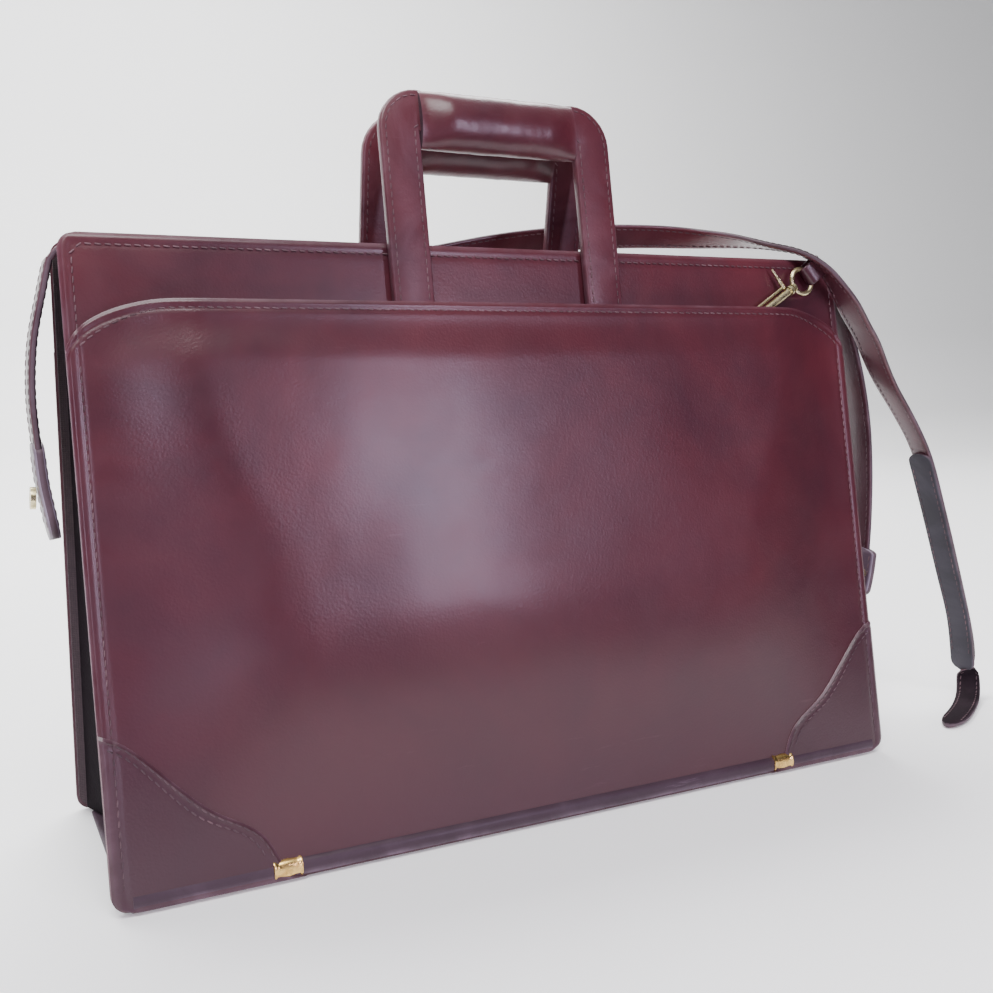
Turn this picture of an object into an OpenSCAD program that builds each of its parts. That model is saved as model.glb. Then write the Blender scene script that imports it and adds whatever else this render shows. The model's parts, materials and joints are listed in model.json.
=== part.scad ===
// Soft-sided leather briefcase: two leaning leather faces on a flat base, folded side
// gussets, a zipped top, two sliding carry handles and a clip-on shoulder strap.
// X runs along the case, Y from the front face to the back face, Z up.
// The origin is on the floor, under the middle of the case.

/* [Case] */
// Length of the case along X
case_w = 432; // [400:1:460]
// Height of each face, measured up its slope
face_h = 291; // [270:1:310]
// Depth of the case at the floor
base_d = 132; // [110:1:150]
// Depth of the case at the top edge
top_d = 35; // [33:1:45]
// Radius of the face corners
corner_r = 8; // [4:1:14]

/* [Leather] */
// Thickness of the face leather
leather_t = 2; // [1.6:0.1:2.2]
// Thickness of the board behind the face leather
board_t = 1.2; // [1:0.1:1.3]
// Thickness of the lining
lining_t = 0.8; // [0.6:0.1:0.9]
// Thickness of the corner patches
patch_t = 1.4; // [1:0.1:1.8]

/* [Pocket] */
// Distance from the top of the face down to the pocket's edge
pocket_drop = 30; // [26:1:34]
// Distance from the top of the face down to where the pocket meets the side seam
pocket_side_drop = 54; // [48:1:60]
// Room between the face and the pocket
pocket_gap = 8; // [7.8:0.1:9]
// Width of the flat sewn border
border = 8; // [6:0.5:9]

/* [Handles] */
// Where the middle of each handle sits along X
handle_x = -2.5; // [-4:0.5:4]
// Outside width of a handle
handle_w = 129; // [120:1:140]
// Height of a handle above the top edge
handle_rise = 75; // [70:1:80]
// Width of a handle strap
handle_strap_w = 21; // [18:0.5:24]
// Thickness of a handle strap
handle_strap_t = 5; // [4:0.5:6]
// How much lower the back handle sits
back_handle_drop = 7; // [0:1:10]
// Height of the padded grip
grip_h = 29; // [26:1:30]
// Depth of the padded grip
grip_d = 20; // [18:0.5:20]
// Travel of a handle down into its pocket
handle_travel = 30; // [20:1:32]

/* [Zip] */
// Distance from the top edge down to the zip
zip_drop = 7; // [5:0.5:10]
// Width of the strap that overhangs each end
tail_w = 24; // [20:1:25]

/* [Shoulder strap] */
// Width of the shoulder strap
strap_w = 15; // [14:1:16]
// Thickness of the shoulder strap
strap_t = 3; // [2.6:0.1:3.2]

/* [Hidden] */

tilt = asin((base_d - top_d) / 2 / face_h);
foot_lift = 1.2;
layers = leather_t + board_t + lining_t;
pocket_out = pocket_gap + 2.4;
border_t = 2.4;
binding_h = 9;
binding_t = 1.6;
ferrule_x = 141;
ferrule_l = 13;
sweep = 44;
guide_v = face_h - 104;
guide_h = 18;
handle_foot = guide_v - 0.5;
handle_gap = 0.6;
top_z = face_h * cos(tilt);
zip_z = top_z - zip_drop;
zip_x = case_w / 2 - 10;
gusset_t = 1.6;
gusset_x = case_w / 2 - 4;
gusset_fold = 24;
gusset_top = top_z - 24;
wine = "#5a2830";
dark_wine = "#3c1c24";
near_black = "#241a1e";
brass = "#c8a24a";

// ---- frames and shared shapes ----

// Local frame of the front face: x along the case, y up the slope, z outwards.
module front_frame() {
    translate([0, -base_d / 2, 0]) rotate([90 - tilt, 0, 0]) children();
}

module back_frame() {
    mirror([0, 1, 0]) front_frame() children();
}

module face_outline(inset = 0, low = foot_lift) {
    half = case_w / 2 - inset;
    r = corner_r;
    translate([-half + r, low + inset + r]) square([2 * (half - r), face_h - low - 2 * inset - 2 * r]);
    translate([-half, low + inset + r]) square([2 * half, face_h - low - 2 * inset - 2 * r]);
    translate([-half + r, low + inset]) square([2 * (half - r), face_h - low - 2 * inset]);
    for (x = [-half + r, half - r], y = [low + inset + r, face_h - inset - r])
        translate([x, y]) circle(r = r, $fn = 32);
}

module sheet(from_z, thick) {
    translate([0, 0, from_z]) linear_extrude(height = thick) children();
}

// The pocket's outline: its top corners sweep down to the side seams.
module pocket_outline(inset = 0, lift = 0) {
    half = case_w / 2 - inset;
    top = face_h - pocket_drop + lift;
    side = face_h - pocket_side_drop;
    intersection() {
        face_outline(inset);
        union() {
            translate([-half, 0]) square([2 * half, side]);
            translate([-half + sweep, side - 1]) square([2 * (half - sweep), top - side + 1]);
            for (s = [-1, 1])
                translate([s * (half - sweep), side]) sweep_round(sweep, top - side);
        }
    }
}

// A rounding of unequal sides.
module sweep_round(a, b) {
    polygon([for (i = [0 : 6 : 354]) [a * cos(i), b * sin(i)]]);
}

module pocket() {
    difference() {
        union() {
            sheet(0, border_t) pocket_outline();
            sheet(0, pocket_out) pocket_outline(border);
        }
        sheet(-1, pocket_gap + 1) pocket_outline(border + 2, 1);
    }
}

// Edge of a corner patch, from the side seam to the bottom seam.
patch_edge = [[0, 76, 0], [13, 67, 0], [41, 39, 0], [65, 22, 0], [76, 0, 0]];

module corner_outline(inset) {
    intersection() {
        face_outline(inset);
        for (s = [0, 1])
            mirror([s, 0]) translate([-case_w / 2, 0])
                polygon(concat([[-20, 0], [-20, patch_edge[0][1]]],
                    [for (p = smooth(patch_edge, 3)) [p[0], p[1]]]));
    }
}

module corner_patches() {
    difference() {
        union() {
            sheet(border_t, patch_t) corner_outline(0);
            sheet(border_t, pocket_out - border_t + patch_t) corner_outline(border - patch_t);
        }
        sheet(0, pocket_out) face_outline(border);
        sheet(0, border_t + patch_t + 1) translate([-case_w, 0]) square([2 * case_w, binding_h + foot_lift + 0.2]);
    }
}

module binding() {
    translate([-case_w / 2 + corner_r, 0, 0]) rotate([90, 0, 90]) linear_extrude(height = case_w - 2 * corner_r)
        difference() {
            translate([foot_lift, -layers - binding_t])
                square([binding_h, layers + border_t + 2 * binding_t]);
            translate([foot_lift + binding_t, -layers]) square([binding_h, layers + border_t]);
        }
}

module ferrules() {
    for (s = [-1, 1])
        translate([s * ferrule_x - ferrule_l / 2, 0, 0]) rotate([90, 0, 90]) linear_extrude(height = ferrule_l)
            difference() {
                translate([foot_lift - 0.1, -layers - binding_t - 0.6])
                    square([binding_h + 1, layers + border_t + 2 * binding_t + 1.4]);
                translate([foot_lift, -layers - binding_t])
                    square([binding_h + 2, layers + border_t + 2 * binding_t]);
            }
}

// Strap sewn across the face inside the pocket, that the handle legs run through.
module handle_guide() {
    leg = handle_w / 2 - handle_strap_w / 2;
    difference() {
        translate([handle_x - handle_w / 2 - 14, guide_v, 0])
            cube([handle_w + 28, guide_h, handle_strap_t + handle_gap + 1.4]);
        for (s = [-1, 1])
            translate([handle_x + s * leg - handle_strap_w / 2 - 1, guide_v - 1, -1])
                cube([handle_strap_w + 2, guide_h + 2, handle_strap_t + handle_gap + 1.4]);
    }
}

// ---- handles ----

module rounded_top(w, h, r) {
    translate([-w / 2, 0]) square([w, h - r]);
    translate([-w / 2 + r, 0]) square([w - 2 * r, h]);
    for (s = [-1, 1])
        translate([s * (w / 2 - r), h - r]) circle(r = r, $fn = 48);
}

module handle_strap() {
    rise = face_h + handle_rise - handle_foot;
    translate([handle_x, handle_foot, handle_gap / 2 + 0.2]) linear_extrude(height = handle_strap_t)
        difference() {
            rounded_top(handle_w, rise, 20);
            translate([-handle_w / 2 + handle_strap_w, -1])
                square([handle_w - 2 * handle_strap_w, rise - grip_h / 2 - 2]);
        }
}

module grip() {
    length = handle_w - 2 * handle_strap_w - 0.4;
    mid = face_h + handle_rise - grip_h / 2;
    core = handle_strap_t + 0.1;
    difference() {
        translate([handle_x, mid, handle_gap / 2 + 0.2 + handle_strap_t / 2])
            rotate([0, 90, 0]) linear_extrude(height = length, center = true)
                polygon([for (i = [0 : 10 : 350]) [grip_d / 2 * cos(i), grip_h / 2 * sin(i)]]);
        translate([handle_x - length, mid - 3, handle_gap / 2 + 0.2 - 0.05])
            cube([2 * length, grip_h, core]);
    }
}

// Bar that joins the two legs below the guide and stops the handle pulling out.
module handle_stop() {
    translate([handle_x - handle_w / 2 - 6, handle_foot - 12, handle_gap / 2 + 0.2])
        cube([handle_w + 12, 12, handle_strap_t]);
}

// ---- zip ----

module zip_tape() {
    translate([-zip_x, -top_d / 2 + 4.6, zip_z - 0.5])
        cube([2 * zip_x, top_d / 2 - 4.6 - 2.4, 1]);
}

module zip_teeth() {
    pitch = 3;
    count = floor((2 * zip_x - 20) / pitch);
    translate([-zip_x + 8, -2.4, zip_z - 0.7]) cube([2 * zip_x - 16, 0.9, 1.4]);
    for (i = [0 : count])
        translate([-zip_x + 9 + i * pitch, -1.5, zip_z - 0.7]) cube([1.5, 1.1, 1.4]);
}

module zip_slider_body() {
    translate([slider_x, 0, zip_z]) {
        for (z = [2.3, -3.5])
            translate([-6, -4.5, z]) cube([12, 9, 1.2]);
        translate([3.6, -0.25, -2.4]) cube([2, 0.5, 4.8]);
        translate([-4, -1.2, 3.5]) difference() {
            cube([8, 2.4, 3.6]);
            translate([1.4, -1, -0.1]) cube([5.2, 5, 2.4]);
        }
    }
}

slider_x = 22 - zip_x;

module zip_pull_tab() {
    translate([slider_x, 0, zip_z + 4.7]) {
        difference() {
            translate([0.6, -4, -0.8]) cube([23.4, 8, 1.6]);
            translate([2, -1.8, -2]) cube([3, 3.6, 4]);
            translate([20, 0, -2]) cylinder(r = 1.6, h = 4, $fn = 24);
        }
    }
}

// ---- overhanging zip tails ----

// A strap bent along an XZ route, as wide as the zip band.
module bent_strap(route, thick, wide) {
    n = len(route);
    side = [for (i = [0 : n - 1]) let (a = route[max(i - 1, 0)], b = route[min(i + 1, n - 1)],
        d = b - a, l = norm(d)) [d[1] / l, -d[0] / l] * thick / 2];
    rotate([90, 0, 0]) linear_extrude(height = wide, center = true)
        polygon(concat([for (i = [0 : n - 1]) route[i] + side[i]],
            [for (i = [n - 1 : -1 : 0]) route[i] - side[i]]));
}

left_route = [[-218.4, 276], [-222, 262], [-227, 240], [-229, 216], [-228, 196]];
left_tab_route = [[-228, 195.6], [-227, 180], [-225, 166], [-223, 153]];
right_route = [[218.4, 274], [227, 266], [238, 247], [248, 220], [255, 190], [258, 160],
    [258.5, 130], [257.5, 109.5]];
right_tab_route = [[257.4, 109], [256, 98], [254, 88], [251, 78]];
right_tab_w = 36;

// ---- shoulder strap ----

// Sweep of a flat strap: each route point is [x, y, z], each lean the turn of the
// strap's width from level, about its run.
function unit(v) = v / norm(v);
function spline(p, i, t) =
    let (n = len(p) - 1, a = p[max(i - 1, 0)], b = p[i], c = p[min(i + 1, n)], d = p[min(i + 2, n)])
    b + t * (c - a) / 2 + t * t * (2 * a - 5 * b + 4 * c - d) / 2 + t * t * t * (3 * b - a - 3 * c + d) / 2;
function smooth(p, k) = concat([for (i = [0 : len(p) - 2], j = [0 : k - 1]) spline(p, i, j / k)],
    [p[len(p) - 1]]);

module flat_strap(route, wide, thick, k = 3) {
    pts = smooth(route, k);
    n = len(pts);
    ring = [for (i = [0 : n - 1]) let (p = pts[i], a = pts[max(i - 1, 0)], b = pts[min(i + 1, n - 1)],
        run = unit([b[0] - a[0], b[1] - a[1], b[2] - a[2]]),
        level = unit(cross(run, [0, 0, 1])), up = cross(level, run),
        across = level * cos(p[3]) + up * sin(p[3]), thin = cross(run, across))
        [for (c = [[-1, -1], [1, -1], [1, 1], [-1, 1]])
            [p[0], p[1], p[2]] + across * c[0] * wide / 2 + thin * c[1] * thick / 2]];
    points = [for (r = ring) for (q = r) q];
    last = 4 * n - 4;
    sides = [for (i = [0 : n - 2], j = [0 : 3]) let (k = 4 * i, m = (j + 1) % 4)
        [[k + j, k + m, k + 4 + m], [k + j, k + 4 + m, k + 4 + j]]];
    faces = concat([[3, 2, 1], [3, 1, 0]], [for (pair = sides) for (t = pair) t],
        [[last, last + 1, last + 2], [last, last + 2, last + 3]]);
    polyhedron(points, faces, convexity = 6);
}

// [x, y, z, lean]
rear_route = [[-190, 26, 284, 20], [-184, 36, 287, 50], [-166, 44, 284, 70], [-130, 49, 276, 74],
    [-95, 50, 272, 74], [-55, 48, 279, 70], [-15, 46, 287, 66], [30, 44, 296, 62], [80, 43, 302, 60],
    [125, 41, 304, 55], [155, 34, 303, 40], [174, 14, 300, 20], [182, -9, 294.5, 5]];
front_route = [[183, -12, 293.6, 4], [189, -21, 291, 0], [197, -28, 284, 0], [205, -30, 275, 0],
    [214, -31, 264, 0], [230, -25, 250, 0], [239, -23, 242, 0], [248, -19, 233, 0], [264, -14, 215, 0],
    [284, -12, 193, 0],
    [301, -12, 168, 0], [316, -12, 130, 0], [331, -12, 89, 0], [345, -12, 48, 0], [350, -12, 24, 0],
    [351, -13, 12, 0], [346, -18, 4.6, 180], [330, -30, 2.3, 180], [305, -46, 2.3, 180], [281, -58, 2.3, 180]];
pad_route = [[301, -12, 169, 0], [316, -12, 130, 0], [331, -12, 89, 0], [343, -12, 56, 0], [348.5, -12, 28, 0],
    [349.5, -12, 19, 0]];

// ---- snap hook, in the face frame: eye, swivel body and sprung gate ----

hook_u = 187;
hook_v = 277;
hook_off = 4.1;
hook_turn = 211;
loop_r = 6.2;
wire_r = 1.2;
loop_at = 44;

module hook_frame() {
    translate([hook_u, hook_v, hook_off]) rotate([0, 0, hook_turn]) children();
}

module hook_eye_shape() {
    hook_frame() {
        rotate_extrude($fn = 48) translate([7.2, 0]) circle(r = 1.3, $fn = 24);
        translate([7, 0, 0]) rotate([0, 90, 0]) cylinder(r = 2.6, h = 1.7, $fn = 32);
    }
}

module hook_body_shape() {
    shank_end = loop_at - loop_r - 1.2;
    hook_frame() {
        translate([9, 0, 0]) rotate([0, 90, 0]) cylinder(r = 2.1, h = shank_end - 9, $fn = 32);
        translate([10, 0, 0]) rotate([0, 90, 0]) cylinder(r = 2.9, h = 2, $fn = 32);
        translate([loop_at, 0, 0]) rotate([0, 0, -75])
            rotate_extrude(angle = 240, $fn = 64) translate([loop_r, 0]) circle(r = wire_r, $fn = 24);
        translate([shank_end - 1, 1, 0]) rotate([0, 90, 0]) cylinder(r = wire_r, h = 3, $fn = 24);
    }
}

// Straight gate across the hook's mouth, with the thumb lever that works it.
module hook_gate_shape() {
    pivot = loop_at - loop_r + 0.6;
    hook_frame() {
        translate([pivot, -3.6, 0]) rotate([0, 90, 0]) cylinder(r = 0.8, h = 7.6, $fn = 24);
        translate([14, -4, 0]) rotate([0, 90, 0]) cylinder(r = 0.8, h = pivot - 13.6, $fn = 24);
        translate([14, -4.2, 0]) rotate([94, 0, 0]) cylinder(r1 = 1.3, r2 = 0.6, h = 12, $fn = 24);
        translate([14, -4, 0]) sphere(r = 1.3, $fn = 24);
    }
}

// Brass staple riveted through the face inside the pocket; the hook clips round its bar.
module anchor_staple() {
    reach = pocket_gap - 0.6;
    hook_frame() translate([loop_at, 0, -hook_off]) rotate([0, 0, 60]) {
        for (x = [3.4, 9.4])
            translate([x, 0, 0]) cylinder(r = 0.9, h = reach - 0.9, $fn = 24);
        translate([2.5, 0, reach - 0.9]) rotate([0, 90, 0]) cylinder(r = 0.9, h = 7.8, $fn = 24);
    }
}

module strap_keeper_shape() {
    hook_frame() difference() {
        translate([-18, -10, -3]) cube([11, 15, 9]);
        translate([-19, -8.6, -1.6]) cube([13, 12.2, 6.2]);
    }
}

// ---- sub-parts of the base and the back half ----

module base_panel() {
    color(dark_wine) translate([-case_w / 2 + 6, -base_d / 2 + 7, 0])
        cube([case_w - 12, base_d - 14, border_t]);
}

module base_board() {
    color("#8c7a5c") translate([-182, -56, border_t]) cube([364, 112, 1.6]);
}

module back_panel() {
    color(wine) back_frame() sheet(-leather_t, leather_t) face_outline(0, foot_lift + binding_t);
}

module back_board() {
    color("#8c7a5c") back_frame() sheet(-leather_t - board_t, board_t) face_outline(3, foot_lift);
}

module back_lining() {
    color(near_black) back_frame() sheet(-layers, lining_t) face_outline(1, foot_lift + binding_t);
}

module back_pocket() {
    color(wine) back_frame() pocket();
}

module back_corner_patches() {
    color(dark_wine) back_frame() corner_patches();
}

module back_binding() {
    color(dark_wine) back_frame() binding();
}

module back_ferrules() {
    color(brass) back_frame() ferrules();
}

module back_handle_guide() {
    color(dark_wine) back_frame() handle_guide();
}

// One folded side wall; its fold points into the case.
module gusset() {
    low = border_t + 0.2;
    function edge_y(z) = base_d / 2 - 6.2 - z * tan(tilt);
    function fold_in(z) = gusset_fold * (1 - 0.7 * z / gusset_top);
    pts = [for (z = [low, gusset_top]) for (p = [[gusset_x, -edge_y(z)], [gusset_x - fold_in(z), 0],
        [gusset_x, edge_y(z)], [gusset_x - gusset_t, edge_y(z)], [gusset_x - fold_in(z) - gusset_t, 0],
        [gusset_x - gusset_t, -edge_y(z)]]) [p[0], p[1], z]];
    polyhedron(pts, concat([[0, 1, 4, 5], [1, 2, 3, 4], [11, 10, 7, 6], [10, 9, 8, 7]],
        [for (i = [0 : 5]) [i, i + 6, (i + 1) % 6 + 6, (i + 1) % 6]]), convexity = 4);
}

module left_gusset() {
    color(near_black) mirror([1, 0, 0]) gusset();
}

module right_gusset() {
    color(near_black) gusset();
}

// Document pocket sewn to the back lining.
module inner_pocket() {
    color(near_black) back_frame() difference() {
        translate([-150, 30, -layers - 5]) cube([300, 170, 5]);
        translate([-147, 33, -layers - 4]) cube([294, 170, 4.1]);
    }
}

module back_zip_tape() {
    color(near_black) mirror([0, 1, 0]) zip_tape();
}

module back_zip_teeth() {
    color(brass) translate([1.5, 0, 0]) mirror([0, 1, 0]) zip_teeth();
}

module zip_end_stops() {
    color(brass) for (s = [-1, 1])
        translate([s * (zip_x - 4) - 1.5, 0.2, zip_z - 0.9]) cube([3, 2.1, 1.8]);
}

module back_anchor_staple() {
    color(brass) rotate([0, 0, 180]) front_frame() anchor_staple();
}

module shoulder_strap_rear() {
    color(dark_wine) flat_strap(rear_route, strap_w, strap_t);
}

module rear_strap_keeper() {
    color(wine) rotate([0, 0, 180]) front_frame() strap_keeper_shape();
}

module rear_hook_eye() {
    color(brass) rotate([0, 0, 180]) front_frame() hook_eye_shape();
}

module rear_hook_body() {
    color(brass) rotate([0, 0, 180]) front_frame() hook_body_shape();
}

module rear_hook_gate() {
    color(brass) rotate([0, 0, 180]) front_frame() hook_gate_shape();
}

// ---- sub-parts of the opening front half ----

module front_panel() {
    color(wine) front_frame() sheet(-leather_t, leather_t) face_outline(0, foot_lift + binding_t);
}

module front_board() {
    color("#8c7a5c") front_frame() sheet(-leather_t - board_t, board_t) face_outline(3, foot_lift);
}

module front_lining() {
    color(near_black) front_frame() sheet(-layers, lining_t) face_outline(1, foot_lift + binding_t);
}

module front_pocket() {
    color(wine) front_frame() pocket();
}

module front_corner_patches() {
    color(dark_wine) front_frame() corner_patches();
}

module front_binding() {
    color(dark_wine) front_frame() binding();
}

module front_ferrules() {
    color(brass) front_frame() ferrules();
}

module front_handle_guide() {
    color(dark_wine) front_frame() handle_guide();
}

module front_zip_tape() {
    color(near_black) zip_tape();
}

module front_zip_teeth() {
    color(brass) zip_teeth();
}

module front_anchor_staple() {
    color(brass) front_frame() anchor_staple();
}

module shoulder_strap_front() {
    color(dark_wine) flat_strap(front_route, strap_w, strap_t);
}

module shoulder_strap_pad() {
    color("#33323a") translate([-2.7, 0, -0.9]) flat_strap(pad_route, strap_w + 4, 2.4);
}

module front_strap_keeper() {
    color(wine) front_frame() strap_keeper_shape();
}

module front_hook_eye() {
    color(brass) front_frame() hook_eye_shape();
}

module front_hook_body() {
    color(brass) front_frame() hook_body_shape();
}

module front_hook_gate() {
    color(brass) front_frame() hook_gate_shape();
}

// ---- sub-parts of the handles, the zip and the tails ----

module front_handle_strap() {
    color(wine) front_frame() handle_strap();
}

module front_grip() {
    color(wine) front_frame() grip();
}

module front_handle_stop() {
    color(dark_wine) front_frame() handle_stop();
}

module back_handle_strap() {
    color(wine) back_frame() translate([0, -back_handle_drop, 0]) handle_strap();
}

module back_grip() {
    color(wine) back_frame() translate([0, -back_handle_drop, 0]) grip();
}

module back_handle_stop() {
    color(dark_wine) back_frame() translate([0, -back_handle_drop, 0]) handle_stop();
}

module zip_slider() {
    color(brass) zip_slider_body();
}

module zip_pull() {
    color(brass) zip_pull_tab();
}

module left_zip_tail() {
    color(near_black) bent_strap(left_route, 3, tail_w);
}

module left_tail_tab() {
    color(dark_wine) bent_strap(left_tab_route, 5, tail_w);
}

module left_tail_snap() {
    color(brass) translate([-232.2, 0, 172]) rotate([0, 94, 0]) cylinder(r = 5, h = 2.4, $fn = 32);
}

module right_zip_tail() {
    color(near_black) bent_strap(right_route, 3, tail_w);
}

module right_tail_tab() {
    color("#6a5866") bent_strap(right_tab_route, 5, right_tab_w);
}

module right_tail_snaps() {
    color(brass) for (y = [-11, 11])
        translate([255, y, 93]) rotate([0, 101, 0]) cylinder(r = 3.4, h = 7.4, center = true, $fn = 32);
}

// ---- drawing ----

base_panel();
base_board();
back_panel();
back_board();
back_lining();
back_pocket();
back_corner_patches();
back_binding();
back_ferrules();
back_handle_guide();
left_gusset();
right_gusset();
inner_pocket();
back_zip_tape();
back_zip_teeth();
zip_end_stops();
back_anchor_staple();
shoulder_strap_rear();
rear_strap_keeper();
rear_hook_eye();
rear_hook_body();
rear_hook_gate();
front_panel();
front_board();
front_lining();
front_pocket();
front_corner_patches();
front_binding();
front_ferrules();
front_handle_guide();
front_zip_tape();
front_zip_teeth();
front_anchor_staple();
shoulder_strap_front();
shoulder_strap_pad();
front_strap_keeper();
front_hook_eye();
front_hook_body();
front_hook_gate();
front_handle_strap();
front_grip();
front_handle_stop();
back_handle_strap();
back_grip();
back_handle_stop();
zip_slider();
zip_pull();
left_zip_tail();
left_tail_tab();
left_tail_snap();
right_zip_tail();
right_tail_tab();
right_tail_snaps();
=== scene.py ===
import json
import math

import bmesh
import bpy
import numpy as np
from mathutils import Matrix, Vector, noise


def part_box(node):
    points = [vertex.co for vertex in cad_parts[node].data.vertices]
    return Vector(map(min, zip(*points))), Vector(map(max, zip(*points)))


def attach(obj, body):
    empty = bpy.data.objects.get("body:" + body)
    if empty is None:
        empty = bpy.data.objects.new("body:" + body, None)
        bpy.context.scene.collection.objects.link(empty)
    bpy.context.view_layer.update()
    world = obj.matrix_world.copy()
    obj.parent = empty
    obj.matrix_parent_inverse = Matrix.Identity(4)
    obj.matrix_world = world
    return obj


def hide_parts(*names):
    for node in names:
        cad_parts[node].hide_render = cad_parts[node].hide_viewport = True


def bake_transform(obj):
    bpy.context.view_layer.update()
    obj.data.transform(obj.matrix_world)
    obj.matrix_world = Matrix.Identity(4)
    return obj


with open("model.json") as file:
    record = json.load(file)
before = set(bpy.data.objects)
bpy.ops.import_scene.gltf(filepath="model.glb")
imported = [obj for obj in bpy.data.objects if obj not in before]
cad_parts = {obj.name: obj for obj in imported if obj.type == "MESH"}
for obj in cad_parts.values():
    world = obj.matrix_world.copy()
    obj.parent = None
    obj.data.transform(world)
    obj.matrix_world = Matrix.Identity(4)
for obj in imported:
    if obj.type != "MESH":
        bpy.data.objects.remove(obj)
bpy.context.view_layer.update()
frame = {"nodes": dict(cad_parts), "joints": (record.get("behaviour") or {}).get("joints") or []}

# ---------------------------------------------------------------------------
# Faces: one large piece of firm, smooth waxed hide for the front and one for the
# back. Both lean in towards the zip, and a fold of hide and a row of doubled
# waxed thread run round the edge of each.
# ---------------------------------------------------------------------------


def add_node(tree, kind, **settings):
    node = tree.nodes.new(kind)
    for key, value in settings.items():
        setattr(node, key, value)
    return node


def plug(tree, source, target):
    tree.links.new(source, target)


def noise_node(tree, where, scale, detail=3.0, rough=0.5, distortion=0.0):
    node = add_node(tree, "ShaderNodeTexNoise")
    node.inputs["Scale"].default_value = scale
    node.inputs["Detail"].default_value = detail
    node.inputs["Roughness"].default_value = rough
    node.inputs["Distortion"].default_value = distortion
    plug(tree, where, node.inputs["Vector"])
    return node


def remap(tree, source, low, high, to_low=0.0, to_high=1.0):
    node = add_node(tree, "ShaderNodeMapRange")
    for name, value in (("From Min", low), ("From Max", high), ("To Min", to_low), ("To Max", to_high)):
        node.inputs[name].default_value = value
    plug(tree, source, node.inputs["Value"])
    return node.outputs["Result"]


def math_node(tree, operation, first, second):
    node = add_node(tree, "ShaderNodeMath", operation=operation)
    for socket, value in zip(node.inputs, (first, second)):
        if isinstance(value, (int, float)):
            socket.default_value = value
        else:
            plug(tree, value, socket)
    return node.outputs[0]


def mix_color(tree, factor, first, second):
    node = add_node(tree, "ShaderNodeMix", data_type="RGBA")
    for socket, value in ((node.inputs[0], factor), (node.inputs[6], first), (node.inputs[7], second)):
        if isinstance(value, (int, float)):
            socket.default_value = value
        elif isinstance(value, tuple):
            socket.default_value = (*value, 1.0)
        else:
            plug(tree, value, socket)
    return node.outputs[2]


def hide_group():
    group = bpy.data.node_groups.new("hide", "ShaderNodeTree")
    group.interface.new_socket("Pebble size", in_out="INPUT", socket_type="NodeSocketFloat")
    for name in ("Height", "Tone", "Scratch", "Smudge", "Painted floor shade"):
        group.interface.new_socket(name, in_out="OUTPUT", socket_type="NodeSocketFloat")
    into = add_node(group, "NodeGroupInput")
    out = add_node(group, "NodeGroupOutput")
    where = add_node(group, "ShaderNodeTexCoord").outputs["Object"]
    pebble = add_node(group, "ShaderNodeTexVoronoi", feature="SMOOTH_F1")
    plug(group, where, pebble.inputs["Vector"])
    plug(group, into.outputs["Pebble size"], pebble.inputs["Scale"])
    fine = noise_node(group, where, 620.0, 4.0, 0.6)
    crease = noise_node(group, where, 46.0, 4.0, 0.55, 0.6)
    height = math_node(group, "ADD", math_node(group, "MULTIPLY", pebble.outputs["Distance"], 0.5),
                       math_node(group, "MULTIPLY", fine.outputs["Fac"], 0.45))
    height = math_node(group, "ADD", height, math_node(group, "MULTIPLY", crease.outputs["Fac"], 0.9))
    tone = noise_node(group, where, 11.0, 4.0, 0.6, 0.4)
    stretch = add_node(group, "ShaderNodeMapping")
    stretch.inputs["Rotation"].default_value = (0.2, 0.5, 0.3)
    stretch.inputs["Scale"].default_value = (14.0, 160.0, 150.0)
    plug(group, where, stretch.inputs["Vector"])
    streak = noise_node(group, stretch.outputs["Vector"], 1.6, 5.0, 0.7, 0.3)
    patch = noise_node(group, where, 17.0, 3.0, 0.6)
    scratch = math_node(group, "MULTIPLY", remap(group, streak.outputs["Fac"], 0.62, 0.72),
                        remap(group, patch.outputs["Fac"], 0.5, 0.66))
    smudge = noise_node(group, where, 27.0, 6.0, 0.62, 1.2)
    split = add_node(group, "ShaderNodeSeparateXYZ")
    plug(group, where, split.inputs["Vector"])
    plug(group, height, out.inputs["Height"])
    plug(group, remap(group, tone.outputs["Fac"], 0.3, 0.7), out.inputs["Tone"])
    plug(group, scratch, out.inputs["Scratch"])
    plug(group, remap(group, smudge.outputs["Fac"], 0.42, 0.72), out.inputs["Smudge"])
    # Painted shade: nothing at 0.30 m up, rising to full at the floor.
    plug(group, remap(group, split.outputs["Z"], 0.30, 0.0), out.inputs["Painted floor shade"])
    return group


# Pebble, tone, scratches and smudges of hide, and painted shade that darkens it towards the floor, which
# each leather colours for itself.
HIDE = hide_group()


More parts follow.
